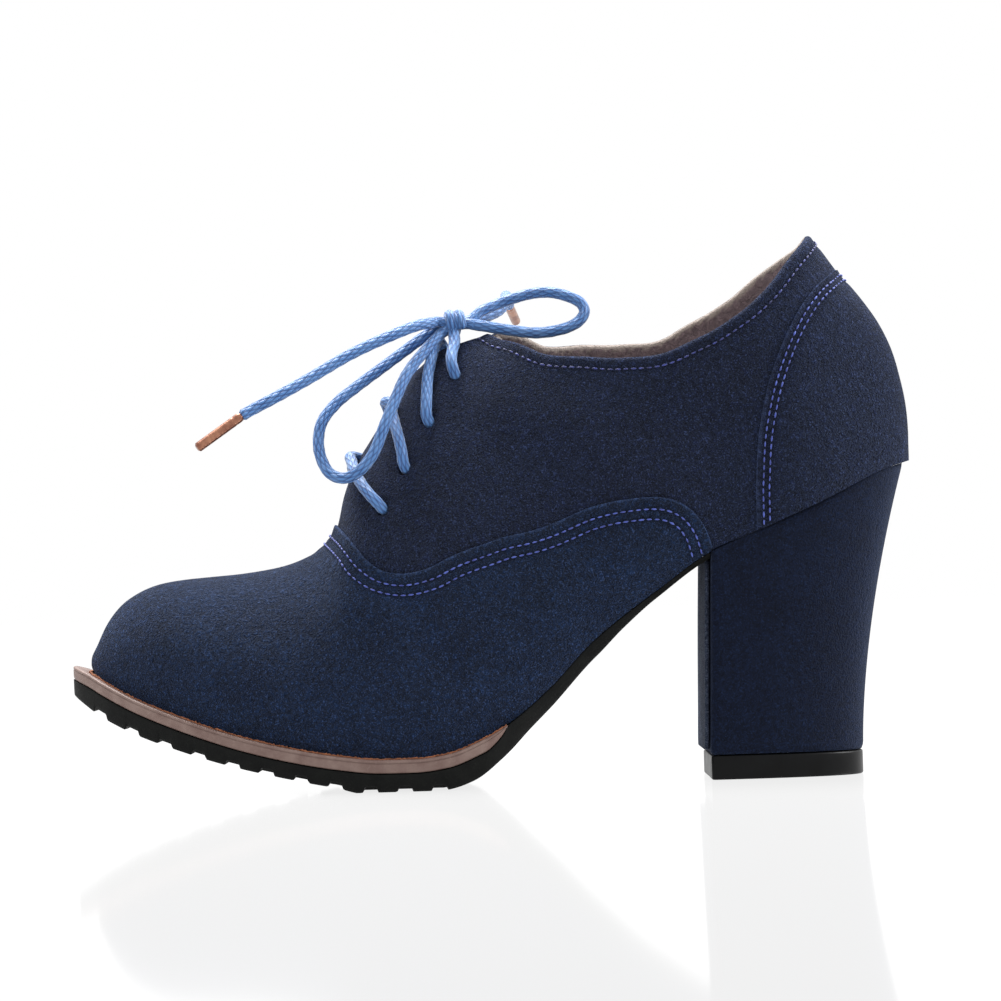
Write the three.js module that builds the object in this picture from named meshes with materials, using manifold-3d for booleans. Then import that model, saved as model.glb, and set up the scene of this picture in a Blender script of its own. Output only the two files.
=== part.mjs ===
// A woman's left lace up shoe with a tall block heel, in millimetres.
// The toe points along -X, the lateral side is -Y, +Z is up and the floor is Z = 0.
import * as THREE from 'three';
import { mergeVertices } from 'three/addons/utils/BufferGeometryUtils.js';
import Module from 'manifold-3d';

const wasm = await Module();
wasm.setup();

// Driving sizes
const shoeLength = 231.8;
const soleTipMargin = 5.4;
const ballWidth = 76;
const ballHeight = 8.9;
const toeSpring = 24.7;
const heelRise = 76.3;
const coneHeight = 110;
const soleDepth = 9.2;
const weltThickness = 3.5;
const weltMarginToe = 5.4;
const weltMarginSide = 3.8;
const seam = 0.3;
const soleSeam = 0.45;

const wall = 2.4;
const suedeStep = 0.9;
const counterStep = 0.5;
const tongueThickness = 2.4;
const tongueHalfWidth = 21;
const insoleThickness = 2.6;

const facingGapBottom = 2.6;
const facingGapTop = 9.5;
const eyeletRadius = 1.65;
const laceRadius = 1.55;
const laceClearance = 0.6;

const liftThickness = 6.5;
const liftLength = 42.8;
const liftWidth = 48;
const seatLength = 54.4;
const seatWidth = 52.6;
const breastLean = 1.6;
const flapThickness = 1.2;
const flapWidth = 44;
const flapFoot = 1.6;
const lugDepth = 1.5;
const lugPitch = 9.2;
const lugGap = 3.6;
const lugReach = 17;

const soleTipX = -shoeLength / 2;
const backX = shoeLength / 2;
const toeX = soleTipX + soleTipMargin;
const lastLength = backX - toeX;

// Short tables, one row for each section. "at" runs from the sole's tip (0) to the back (1) in featherRows and
// soleRows, and from the upper's toe (0) to its back (1) in the others. The rest are shares of the named sizes.

// Edge where the upper meets the sole: share of the toe spring in front of the ball, of the heel rise behind it
const featherRows = [
  { at: 0.000, spring: 1.093, rise: 0 },
  { at: 0.023, spring: 1.000, rise: 0 },
  { at: 0.044, spring: 0.892, rise: 0 },
  { at: 0.083, spring: 0.709, rise: 0 },
  { at: 0.146, spring: 0.474, rise: 0 },
  { at: 0.206, spring: 0.287, rise: 0 },
  { at: 0.258, spring: 0.162, rise: 0 },
  { at: 0.317, spring: 0.057, rise: 0 },
  { at: 0.368, spring: 0.004, rise: 0 },
  { at: 0.411, spring: 0, rise: 0.001 },
  { at: 0.446, spring: 0, rise: 0.014 },
  { at: 0.484, spring: 0, rise: 0.057 },
  { at: 0.520, spring: 0, rise: 0.117 },
  { at: 0.563, spring: 0, rise: 0.224 },
  { at: 0.618, spring: 0, rise: 0.392 },
  { at: 0.695, spring: 0, rise: 0.565 },
  { at: 0.753, spring: 0, rise: 0.685 },
  { at: 0.823, spring: 0, rise: 0.773 },
  { at: 0.890, spring: 0, rise: 0.860 },
  { at: 0.964, spring: 0, rise: 0.966 },
  { at: 1.000, spring: 0, rise: 1.000 },
];

// How deep welt and outsole are together, as a share of soleDepth; "taper" pulls the bottom in from the side
const soleRows = [
  { at: 0.000, depth: 0.91, taper: 0.08 },
  { at: 0.037, depth: 1.09, taper: 0.08 },
  { at: 0.148, depth: 1.01, taper: 0.08 },
  { at: 0.256, depth: 0.935, taper: 0.08 },
  { at: 0.312, depth: 0.95, taper: 0.08 },
  { at: 0.345, depth: 1.04, taper: 0.08 },
  { at: 0.411, depth: 1.04, taper: 0.08 },
  { at: 0.446, depth: 1.06, taper: 0.10 },
  { at: 0.476, depth: 1.09, taper: 0.15 },
  { at: 0.509, depth: 0.90, taper: 0.25 },
  { at: 0.545, depth: 0.67, taper: 0.45 },
  { at: 0.622, depth: 0.565, taper: 0.5 },
  { at: 0.654, depth: 0.39, taper: 0.45 },
  { at: 0.690, depth: 0.25, taper: 0.3 },
  { at: 0.750, depth: 0.21, taper: 0.2 },
];

// Height of the closed form above that edge, as a share of coneHeight: vamp, throat, instep, then the ankle's
// cone, whose tip the collar cuts away, and the back
const ridgeRows = [
  { at: 0.000, height: 0 },
  { at: 0.007, height: 0.062 },
  { at: 0.022, height: 0.147 },
  { at: 0.048, height: 0.229 },
  { at: 0.088, height: 0.301 },
  { at: 0.150, height: 0.360 },
  { at: 0.229, height: 0.424 },
  { at: 0.272, height: 0.475 },
  { at: 0.284, height: 0.502 },
  { at: 0.296, height: 0.543 },
  { at: 0.305, height: 0.589 },
  { at: 0.313, height: 0.646 },
  { at: 0.324, height: 0.706 },
  { at: 0.344, height: 0.779 },
  { at: 0.375, height: 0.878 },
  { at: 0.406, height: 0.962 },
  { at: 0.441, height: 1.002 },
  { at: 0.494, height: 0.994 },
  { at: 0.540, height: 0.975 },
  { at: 0.622, height: 0.935 },
  { at: 0.746, height: 0.944 },
  { at: 0.799, height: 0.955 },
  { at: 0.846, height: 0.833 },
  { at: 0.892, height: 0.657 },
  { at: 0.926, height: 0.521 },
  { at: 0.949, height: 0.438 },
  { at: 0.971, height: 0.349 },
  { at: 0.989, height: 0.240 },
  { at: 1.000, height: 0 },
];

// Half widths of the body and of its lower edge on each side, and the ridge's place, as shares of ballWidth.
// "round" is the arch's exponent and "tuck" lifts the closed tips, as a share of coneHeight
const planRows = [
  { at: 0.000, lateral: -0.105, medial: 0.105, edgeLateral: -0.105, edgeMedial: 0.105, crest: 0.105, round: 2.2, tuck: 0.022 },
  { at: 0.007, lateral: 0.020, medial: 0.226, edgeLateral: 0.022, edgeMedial: 0.222, crest: 0.103, round: 2.2, tuck: 0.006 },
  { at: 0.022, lateral: 0.112, medial: 0.309, edgeLateral: 0.105, edgeMedial: 0.303, crest: 0.100, round: 2.2, tuck: 0 },
  { at: 0.048, lateral: 0.213, medial: 0.384, edgeLateral: 0.204, edgeMedial: 0.375, crest: 0.096, round: 2.25, tuck: 0 },
  { at: 0.088, lateral: 0.312, medial: 0.443, edgeLateral: 0.296, edgeMedial: 0.428, crest: 0.088, round: 2.3, tuck: 0 },
  { at: 0.150, lateral: 0.408, medial: 0.493, edgeLateral: 0.388, edgeMedial: 0.474, crest: 0.072, round: 2.3, tuck: 0 },
  { at: 0.229, lateral: 0.474, medial: 0.517, edgeLateral: 0.454, edgeMedial: 0.500, crest: 0.050, round: 2.2, tuck: 0 },
  { at: 0.282, lateral: 0.500, medial: 0.514, edgeLateral: 0.484, edgeMedial: 0.498, crest: 0.036, round: 2.1, tuck: 0 },
  { at: 0.344, lateral: 0.514, medial: 0.495, edgeLateral: 0.500, edgeMedial: 0.474, crest: 0.020, round: 1.95, tuck: 0 },
  { at: 0.406, lateral: 0.509, medial: 0.461, edgeLateral: 0.497, edgeMedial: 0.421, crest: 0.008, round: 1.85, tuck: 0 },
  { at: 0.494, lateral: 0.474, medial: 0.408, edgeLateral: 0.452, edgeMedial: 0.316, crest: 0, round: 1.85, tuck: 0 },
  { at: 0.622, lateral: 0.414, medial: 0.376, edgeLateral: 0.368, edgeMedial: 0.257, crest: 0, round: 2.0, tuck: 0 },
  { at: 0.746, lateral: 0.382, medial: 0.370, edgeLateral: 0.345, edgeMedial: 0.283, crest: 0, round: 2.1, tuck: 0 },
  { at: 0.799, lateral: 0.376, medial: 0.364, edgeLateral: 0.348, edgeMedial: 0.312, crest: 0, round: 2.1, tuck: 0 },
  { at: 0.846, lateral: 0.368, medial: 0.356, edgeLateral: 0.346, edgeMedial: 0.322, crest: 0, round: 2.15, tuck: 0 },
  { at: 0.892, lateral: 0.342, medial: 0.333, edgeLateral: 0.322, edgeMedial: 0.309, crest: 0, round: 2.2, tuck: 0 },
  { at: 0.926, lateral: 0.300, medial: 0.294, edgeLateral: 0.280, edgeMedial: 0.274, crest: 0, round: 2.2, tuck: 0 },
  { at: 0.949, lateral: 0.259, medial: 0.255, edgeLateral: 0.239, edgeMedial: 0.236, crest: 0, round: 2.2, tuck: 0 },
  { at: 0.971, lateral: 0.207, medial: 0.204, edgeLateral: 0.184, edgeMedial: 0.181, crest: 0, round: 2.2, tuck: 0 },
  { at: 0.989, lateral: 0.142, medial: 0.141, edgeLateral: 0.114, edgeMedial: 0.113, crest: 0, round: 2.2, tuck: 0 },
  { at: 1.000, lateral: 0, medial: 0, edgeLateral: 0, edgeMedial: 0, crest: 0, round: 2.2, tuck: 0.064 },
];

// Collar edge on each side, "at" along the upper and its height above the feather edge as a share of coneHeight
const collarRows = [
  { at: 0.470, lateral: 1.04, medial: 1.04 },
  { at: 0.490, lateral: 0.985, medial: 0.990 },
  { at: 0.503, lateral: 0.950, medial: 0.975 },
  { at: 0.521, lateral: 0.912, medial: 0.945 },
  { at: 0.561, lateral: 0.800, medial: 0.836 },
  { at: 0.605, lateral: 0.697, medial: 0.744 },
  { at: 0.654, lateral: 0.611, medial: 0.664 },
  { at: 0.723, lateral: 0.532, medial: 0.588 },
  { at: 0.757, lateral: 0.522, medial: 0.585 },
  { at: 0.792, lateral: 0.535, medial: 0.597 },
  { at: 0.828, lateral: 0.565, medial: 0.624 },
  { at: 0.863, lateral: 0.618, medial: 0.641 },
  { at: 0.880, lateral: 0.641, medial: 0.647 },
  { at: 0.900, lateral: 0.675, medial: 0.675 },
];

// Vamp edge seen from the side, "at" along the upper and height above the feather edge as a share of coneHeight
const vampEdge = [
  { at: 0.299, height: 0.560 },
  { at: 0.322, height: 0.520 },
  { at: 0.342, height: 0.476 },
  { at: 0.363, height: 0.450 },
  { at: 0.386, height: 0.442 },
  { at: 0.414, height: 0.449 },
  { at: 0.447, height: 0.466 },
  { at: 0.497, height: 0.452 },
  { at: 0.548, height: 0.396 },
  { at: 0.598, height: 0.332 },
  { at: 0.648, height: 0.272 },
  { at: 0.692, height: 0.212 },
  { at: 0.722, height: 0.145 },
  { at: 0.744, height: 0.062 },
  { at: 0.755, height: -0.02 },
];

// Front edge of the counter seen from the side, from the seat up to the back
const counterEdge = [
  { at: 0.808, height: -0.03 },
  { at: 0.808, height: 0.10 },
  { at: 0.812, height: 0.21 },
  { at: 0.822, height: 0.31 },
  { at: 0.838, height: 0.395 },
  { at: 0.862, height: 0.475 },
  { at: 0.889, height: 0.525 },
  { at: 0.917, height: 0.545 },
];

// Lace holes: share of the way up the throat line, and distance in from it
const eyelets = [
  { along: 0.025, inset: 12.2 },
  { along: 0.264, inset: 13.0 },
  { along: 0.49, inset: 12.0 },
  { along: 0.795, inset: 9.0 },
];
const throatFrom = 0.3085;
const throatTo = 0.492;

// Curves through the tables
function hermite(rows, key, value, place = (at) => at) {
  const x = rows.map((row) => place(row.at));
  const y = rows.map((row) => row[key]);
  let i = 0;
  const v = place(value);
  while (i < x.length - 2 && v > x[i + 1]) i += 1;
  const slope = (k) => (y[k + 1] - y[k]) / (x[k + 1] - x[k]);
  const tangent = (k) => {
    if (k === 0) return slope(0);
    if (k === x.length - 1) return slope(k - 1);
    const before = slope(k - 1);
    const after = slope(k);
    if (before * after <= 0) return 0;
    return (2 * before * after) / (before + after);
  };
  const step = x[i + 1] - x[i];
  const t = (v - x[i]) / step;
  if (t < 0) return y[0] + tangent(0) * (v - x[0]);
  if (t > 1) return y[i + 1] + tangent(i + 1) * (v - x[i + 1]);
  const t2 = t * t;
  const t3 = t2 * t;
  return (2 * t3 - 3 * t2 + 1) * y[i] + (t3 - 2 * t2 + t) * step * tangent(i)
    + (-2 * t3 + 3 * t2) * y[i + 1] + (t3 - t2) * step * tangent(i + 1);
}

// Closed ends are round when a share is read as the angle of a half turn
const turn = (at) => Math.acos(1 - 2 * Math.min(Math.max(at, 0), 1)) / Math.PI;
const lastX = (at) => toeX + at * lastLength;
const lastAt = (x) => (x - toeX) / lastLength;
const soleAt = (x) => (x - soleTipX) / shoeLength;

function featherZ(x) {
  const at = soleAt(x);
  return ballHeight + toeSpring * hermite(featherRows, 'spring', at) + heelRise * hermite(featherRows, 'rise', at);
}
const ridgeHeight = (at) => coneHeight * hermite(ridgeRows, 'height', at, turn);
const planShare = (at, key) => hermite(planRows, key, at, turn);
function edgeY(at, side) {
  const key = side < 0 ? 'edgeLateral' : 'edgeMedial';
  return side * ballWidth * planShare(at, key);
}

// The last: at = 0..1 from toe to back, arch = -1 (lateral edge) through 0 (ridge) to 1 (medial edge)
const bulgeHeight = 22;
function lastPoint(at, arch) {
  const side = arch < 0 ? -1 : 1;
  const x = lastX(at);
  const bottom = featherZ(x) + coneHeight * planShare(at, 'tuck');
  const height = Math.max(ridgeHeight(at), 1e-6);
  const crest = ballWidth * planShare(at, 'crest');
  const body = side * ballWidth * planShare(at, side < 0 ? 'lateral' : 'medial') - crest;
  const edge = edgeY(at, side) - crest;
  const power = 2 / planShare(at, 'round');
  const angle = (1 - Math.min(Math.abs(arch), 1)) * Math.PI / 2;
  const up = Math.sin(angle) ** power;
  const across = Math.cos(angle) ** power;
  const widest = Math.min(0.35, bulgeHeight / height);
  const low = Math.max(0, 1 - up / widest);
  const inset = Math.abs(body) > 1e-6 ? 1 - edge / body : 0;
  return new THREE.Vector3(x, crest + body * across * (1 - inset * low * low), bottom + height * up);
}

function lastNormal(at, arch) {
  if (at < 1e-4) return new THREE.Vector3(-1, 0, 0);
  if (at > 1 - 1e-4) return new THREE.Vector3(1, 0, 0);
  const da = Math.min(0.004, at / 2, (1 - at) / 2);
  const along = lastPoint(at + da, arch).sub(lastPoint(at - da, arch));
  const low = Math.max(arch - 0.02, -1);
  const high = Math.min(arch + 0.02, 1);
  const around = lastPoint(at, high).sub(lastPoint(at, low));
  return along.cross(around).normalize();
}

function formPoint(at, arch, grow) {
  return lastPoint(at, arch).addScaledVector(lastNormal(at, arch), grow);
}

// Solids
function solidOf(geometry) {
  geometry.deleteAttribute('normal');
  geometry.deleteAttribute('uv');
  const merged = mergeVertices(geometry, 1e-5);
  return new wasm.Manifold(new wasm.Mesh({
    numProp: 3,
    vertProperties: new Float32Array(merged.attributes.position.array),
    triVerts: new Uint32Array(merged.index.array),
  }));
}

function geometryOf(solid) {
  const mesh = solid.getMesh();
  const geometry = new THREE.BufferGeometry();
  geometry.setAttribute('position', new THREE.BufferAttribute(new Float32Array(mesh.vertProperties), 3));
  geometry.setIndex(new THREE.BufferAttribute(new Uint32Array(mesh.triVerts), 1));
  return geometry;
}

// Skin over rings of points, each ring closed; a ring of one point is a tip, and flat ends are zigzag strips
function loft(rings) {
  const points = [];
  const faces = [];
  const starts = rings.map((ring) => {
    const start = points.length / 3;
    ring.forEach((p) => points.push(p.x, p.y, p.z));
    return start;
  });
  const count = Math.max(...rings.map((ring) => ring.length));
  for (let r = 0; r + 1 < rings.length; r += 1) {
    for (let i = 0; i < count; i += 1) {
      const j = (i + 1) % count;
      const a = starts[r] + (rings[r].length > 1 ? i : 0);
      const b = starts[r] + (rings[r].length > 1 ? j : 0);
      const c = starts[r + 1] + (rings[r + 1].length > 1 ? i : 0);
      const d = starts[r + 1] + (rings[r + 1].length > 1 ? j : 0);
      if (a !== b) faces.push(a, b, d);
      if (c !== d) faces.push(a, d, c);
    }
  }
  const cap = (start, flip) => {
    let low = 0;
    let high = count - 1;
    while (high - low > 1) {
      const tri = [start + low, start + low + 1, start + high];
      faces.push(...(flip ? tri.reverse() : tri));
      low += 1;
      if (high - low > 1) {
        const next = [start + low, start + high - 1, start + high];
        faces.push(...(flip ? next.reverse() : next));
        high -= 1;
      }
    }
  };
  if (rings[0].length > 1) cap(starts[0], true);
  if (rings[rings.length - 1].length > 1) cap(starts[rings.length - 1], false);
  let volume = 0;
  const v = (k) => new THREE.Vector3(points[3 * k], points[3 * k + 1], points[3 * k + 2]);
  for (let f = 0; f < faces.length; f += 3) {
    volume += v(faces[f]).dot(v(faces[f + 1]).cross(v(faces[f + 2])));
  }
  if (volume < 0) faces.reverse();
  const geometry = new THREE.BufferGeometry();
  geometry.setAttribute('position', new THREE.BufferAttribute(new Float32Array(points), 3));
  geometry.setIndex(faces);
  return solidOf(geometry);
}

// Stations along the last: even in angle, and closer at the throat, where the ridge turns up
const rowCount = 34;
const archSteps = 10;
const throatStations = [0.268, 0.278, 0.288, 0.297, 0.306, 0.315, 0.325, 0.336, 0.350];
const stations = [];
for (let i = 1; i < rowCount; i += 1) {
  const at = (1 - Math.cos(Math.PI * i / rowCount)) / 2;
  if (throatStations.every((t) => Math.abs(t - at) > 0.009)) stations.push(at);
}
stations.push(...throatStations);
stations.sort((a, b) => a - b);

// The closed last grown by a distance; drop lowers its underside so that it cuts through
function lastSolid(grow, drop) {
  const rings = [[formPoint(0, 0, grow)]];
  for (const at of stations) {
    const ring = [];
    for (let k = -archSteps; k <= archSteps; k += 1) ring.push(formPoint(at, k / archSteps, grow));
    const left = ring[0];
    const right = ring[ring.length - 1];
    left.z = lastPoint(at, -1).z;
    right.z = lastPoint(at, 1).z;
    for (const share of [1, 0.5, 0]) {
      ring.push(new THREE.Vector3().lerpVectors(left, right, share).add(new THREE.Vector3(0, 0, -drop)));
    }
    if (drop === 0) ring.splice(ring.length - 3, 3, new THREE.Vector3().lerpVectors(left, right, 0.5));
    rings.push(ring);
  }
  rings.push([formPoint(1, 0, grow)]);
  return loft(rings);
}

// A prism across the shoe over a side view outline, from y = from to y = to
const across = 80;
function sidePrism(outline, from = -across, to = across) {
  const shape = new THREE.Shape(outline.map(([x, z]) => new THREE.Vector2(x, z)));
  const geometry = new THREE.ExtrudeGeometry(shape, { depth: to - from, bevelEnabled: false });
  geometry.rotateX(Math.PI / 2);
  geometry.translate(0, to, 0);
  return solidOf(geometry);
}

const sideViewPoint = (row, key = 'height') => {
  const x = lastX(row.at);
  return [x, featherZ(x) + coneHeight * row[key]];
};
function smoothOutline(points, steps) {
  const curve = new THREE.CatmullRomCurve3(points.map(([x, z]) => new THREE.Vector3(x, 0, z)), false, 'centripetal');
  return curve.getPoints(steps).map((p) => [p.x, p.z]);
}

// Throat line up the ridge, read by its length, with its direction and inward normal in the side view
const throatSteps = Array.from({ length: 81 }, (_, i) => throatFrom + (throatTo - throatFrom) * (i - 16) / 50);
const throatRun = throatSteps.map(() => 0);
throatSteps.forEach((at, i) => {
  if (i > 0) throatRun[i] = throatRun[i - 1] + lastPoint(at, 0).distanceTo(lastPoint(throatSteps[i - 1], 0));
});
const throatStart = throatRun[16];
const throatLength = throatRun[66] - throatStart;
function throatFrame(share) {
  const run = throatStart + share * throatLength;
  let i = 0;
  while (i < throatRun.length - 2 && run > throatRun[i + 1]) i += 1;
  const t = (run - throatRun[i]) / (throatRun[i + 1] - throatRun[i]);
  const at = throatSteps[i] + (throatSteps[i + 1] - throatSteps[i]) * t;
  const p = lastPoint(at, 0);
  const q = lastPoint(at + 0.005, 0).sub(lastPoint(at - 0.005, 0));
  const along = new THREE.Vector3(q.x, 0, q.z).normalize();
  return { point: p, along, inward: new THREE.Vector3(along.z, 0, -along.x) };
}

// Arch value where the section at "at" has height z
function archAtHeight(at, z, side) {
  let low = 0;
  let high = 1;
  for (let i = 0; i < 30; i += 1) {
    const mid = (low + high) / 2;
    if (lastPoint(at, side * mid).z > z) low = mid;
    else high = mid;
  }
  return side * (low + high) / 2;
}

function facingPlace(share, inset, side) {
  const frame = throatFrame(share);
  const p = frame.point.clone().addScaledVector(frame.inward, inset);
  const at = lastAt(p.x);
  return { at, arch: archAtHeight(at, p.z, side) };
}
const eyeletPlace = (row, side) => facingPlace(row.along, row.inset, side);

// Point over the facings at a share of the throat and a distance across from its centre line
function facingPoint(share, y, grow) {
  const side = y < 0 ? -1 : 1;
  const crest = throatFrame(share).point.y;
  let low = 0;
  let high = 30;
  for (let i = 0; i < 30; i += 1) {
    const mid = (low + high) / 2;
    const place = facingPlace(share, mid, side);
    if (Math.abs(lastPoint(place.at, place.arch).y - crest) < Math.abs(y)) low = mid;
    else high = mid;
  }
  const place = facingPlace(share, low, side);
  return formPoint(place.at, place.arch, grow);
}
const eyeletY = (row, side) => {
  const place = eyeletPlace(row, side);
  return lastPoint(place.at, place.arch).y - throatFrame(row.along).point.y;
};

// Tube of eight sides along a path of points
function tube(points, radius, steps) {
  const curve = new THREE.CatmullRomCurve3(points, false, 'centripetal');
  const section = new THREE.Shape();
  for (let k = 0; k < 8; k += 1) {
    const a = (k + 0.5) * Math.PI / 4;
    const p = [radius * Math.cos(a), radius * Math.sin(a)];
    if (k === 0) section.moveTo(...p);
    else section.lineTo(...p);
  }
  return solidOf(new THREE.ExtrudeGeometry(section, { steps, bevelEnabled: false, extrudePath: curve, curveSegments: 1 }));
}

const quarterGrow = -suedeStep / 2;
const vampGrow = suedeStep / 2;
const counterGrow = quarterGrow + counterStep;
const cavityGrow = quarterGrow - wall;

function makeUpper() {
  const farBack = backX + 20;
  const top = ballHeight + heelRise + coneHeight * 1.5;
  const vampLine = smoothOutline(vampEdge.map((row) => sideViewPoint(row)), 26);
  const vampRegion = sidePrism([[soleTipX - 20, 0], [lastX(vampEdge.at(-1).at), 0], ...vampLine.reverse(),
    [vampLine.at(-1)[0], top], [soleTipX - 20, top]]);
  const counterLine = smoothOutline(counterEdge.map((row) => sideViewPoint(row)), 14);
  const last = counterLine.at(-1);
  const counterRegion = sidePrism([...counterLine, [last[0] + 12, last[1] + 1], [farBack, last[1]],
    [farBack, 0], [counterLine[0][0], 0]]);

  let upper = lastSolid(quarterGrow, 0)
    .add(lastSolid(vampGrow, 0).intersect(vampRegion))
    .add(lastSolid(counterGrow, 0).intersect(counterRegion))
    .subtract(lastSolid(cavityGrow, 8));

  // Collar: a cutter whose lower face runs along both topline edges
  const rings = [];
  for (let i = 0; i <= 22; i += 1) {
    const at = collarRows[0].at + (collarRows.at(-1).at - collarRows[0].at) * (i / 22);
    const x = lastX(at);
    const lateral = featherZ(x) + coneHeight * hermite(collarRows, 'lateral', at);
    const medial = featherZ(x) + coneHeight * hermite(collarRows, 'medial', at);
    rings.push([
      new THREE.Vector3(x, -across, lateral), new THREE.Vector3(x, -12, lateral),
      new THREE.Vector3(x, 12, medial), new THREE.Vector3(x, across, medial),
      new THREE.Vector3(x, across, top), new THREE.Vector3(x, -across, top),
    ]);
  }
  upper = upper.subtract(loft(rings));

  // Throat: a slot down the ridge that narrows to a round foot
  const slot = [];
  for (let i = 0; i <= 12; i += 1) {
    const share = i / 12 * 1.12;
    const frame = throatFrame(share);
    const round = Math.min(1, Math.sqrt((i + 0.3) / 1.6));
    const half = (facingGapBottom + (facingGapTop - facingGapBottom) * share) / 2 * round;
    const corner = (side, depth) => frame.point.clone().addScaledVector(frame.inward, depth)
      .add(new THREE.Vector3(0, side * half, 0));
    slot.push([corner(-1, 9), corner(1, 9), corner(1, -8), corner(-1, -8)]);
  }
  upper = upper.subtract(loft(slot));

  for (const row of eyelets) {
    for (const side of [-1, 1]) {
      const { at, arch } = eyeletPlace(row, side);
      const ends = [4, -wall - 4].map((grow) => formPoint(at, arch, grow));
      upper = upper.subtract(tube(ends, eyeletRadius, 1));
    }
  }
  return upper;
}

function makeTongue() {
  const outerGrow = cavityGrow - seam - 0.15;
  const shell = lastSolid(outerGrow, 0).subtract(lastSolid(outerGrow - tongueThickness, 12));
  const foot = throatFrame(-0.12);
  const rows = [-0.12, 0.1, 0.3, 0.5, 0.7, 0.9, 1.02].map((share) => throatFrame(share));
  const ridge = rows.map((f) => f.point.clone().addScaledVector(f.inward, -6));
  const deep = rows.map((f) => f.point.clone().addScaledVector(f.inward, 19)).reverse();
  const outline = [...ridge, ...deep].map((p) => [p.x, p.z]);
  const crest = foot.point.y;
  return shell.intersect(sidePrism(outline, crest - tongueHalfWidth, crest + tongueHalfWidth));
}

// Plan outline of the lower edge, moved outward by a margin: [point on the lateral side, point on the medial side]
function planRib(at, margin) {
  return [-1, 1].map((side) => {
    const h = 0.003;
    const low = Math.max(at - h, 0);
    const high = Math.min(at + h, 1);
    const tangent = new THREE.Vector2(lastX(high) - lastX(low), edgeY(high, side) - edgeY(low, side)).normalize();
    const normal = new THREE.Vector2(-side * tangent.y, side * tangent.x);
    if (normal.y * side < 0) normal.negate();
    return new THREE.Vector2(lastX(at) + normal.x * margin(normal.x), edgeY(at, side) + normal.y * margin(normal.x));
  });
}

// A plate that follows the lower edge: ribs across the shoe with a top and a bottom height for each point
function plate(ribs, topZ, bottomZ, inset = () => 0) {
  const shares = [0, 0.25, 0.5, 0.75, 1];
  return loft(ribs.map(([left, right], rib) => {
    const upper = shares.map((s) => new THREE.Vector2().lerpVectors(left, right, s));
    const lower = shares.map((s) => {
      const p = new THREE.Vector2().lerpVectors(left, right, s);
      const pull = inset(p.x) * (s === 0 ? 1 : s === 1 ? -1 : 0);
      return new THREE.Vector2(p.x, p.y + pull);
    });
    return [
      ...upper.map((p) => new THREE.Vector3(p.x, p.y, topZ(p.x, rib))),
      ...lower.reverse().map((p) => new THREE.Vector3(p.x, p.y, bottomZ(p.x))),
    ];
  }));
}

// The sole's ribs stand at the upper's own stations, so that both follow the same curve
const soleStations = (from, to) => [from, ...stations.filter((at) => at > from + 0.003 && at < to - 0.003), to];

// The welt's margin is widest at the toe and dies away behind the ball
const weltEndAt = lastAt(soleTipX + 0.5135 * shoeLength);
const sideMargin = (at) => {
  const fade = THREE.MathUtils.smoothstep(at, weltEndAt - 0.03, weltEndAt + 0.06);
  return weltMarginSide * (1 - fade) - 0.5 * fade;
};
const forepartMargin = (at) => (nx) => sideMargin(at) + (weltMarginToe - weltMarginSide) * Math.max(0, -nx) ** 2;

function weltShare(x) {
  const end = lastX(weltEndAt);
  return Math.sqrt(THREE.MathUtils.clamp((end - x) / 5, 0, 1)) * 0.94 + 0.06;
}
const weltTop = (x) => featherZ(x) - soleSeam;
const weltBottom = (x) => weltTop(x) - weltThickness * weltShare(x);
const soleBottom = (x) => Math.max(0, featherZ(x) - soleDepth * hermite(soleRows, 'depth', soleAt(x)));

function makeWelt() {
  const ribs = soleStations(0.0004, weltEndAt).map((at) => planRib(at, forepartMargin(at)));
  return plate(ribs, weltTop, weltBottom);
}

const breastTopX = soleTipX + 0.7575 * shoeLength;
const soleEndX = breastTopX - seam;

function makeOutsole() {
  const front = soleStations(0.0004, weltEndAt);
  const rear = soleStations(weltEndAt + 0.003, lastAt(soleEndX));
  const ribs = [...front, ...rear].map((at) => planRib(at, forepartMargin(at)));
  const topZ = (x, rib) => (rib < front.length ? weltBottom(x) - seam : weltTop(x));
  const inset = (x) => hermite(soleRows, 'taper', soleAt(x)) * soleDepth;
  let sole = plate(ribs, topZ, soleBottom, inset);

  // Lugs: short grooves in from each side and a staggered row between them
  const grooves = Math.floor((lastX(weltEndAt) - soleTipX - 14) / lugPitch);
  for (let i = 0; i < grooves; i += 1) {
    const x = soleTipX + 9 + i * lugPitch;
    const [left, right] = planRib(Math.max(lastAt(x), 0.001), forepartMargin(lastAt(x)));
    const tilt = Math.atan2(soleBottom(x + 2) - soleBottom(x - 2), 4);
    const bar = (cx, from, to, width) => {
      const box = new THREE.BoxGeometry(width, to - from, lugDepth * 2);
      box.rotateY(-tilt);
      box.translate(cx, (from + to) / 2, soleBottom(cx));
      return solidOf(box);
    };
    sole = sole.subtract(bar(x, left.y - 5, left.y + lugReach, lugGap));
    sole = sole.subtract(bar(x, right.y - lugReach, right.y + 5, lugGap));
    const mid = x + lugPitch / 2;
    if (i > 0 && i < grooves - 1) sole = sole.subtract(bar(mid, left.y + lugReach + 3, right.y - lugReach - 3, lugGap * 0.8));
  }
  return sole;
}

function makeInsole() {
  const pull = () => -(wall + suedeStep / 2 + seam + 0.6);
  const ribs = soleStations(0.02, 0.985).map((at) => planRib(at, pull));
  return plate(ribs, (x) => featherZ(x) + insoleThickness, (x) => featherZ(x) + 0.02);
}

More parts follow.
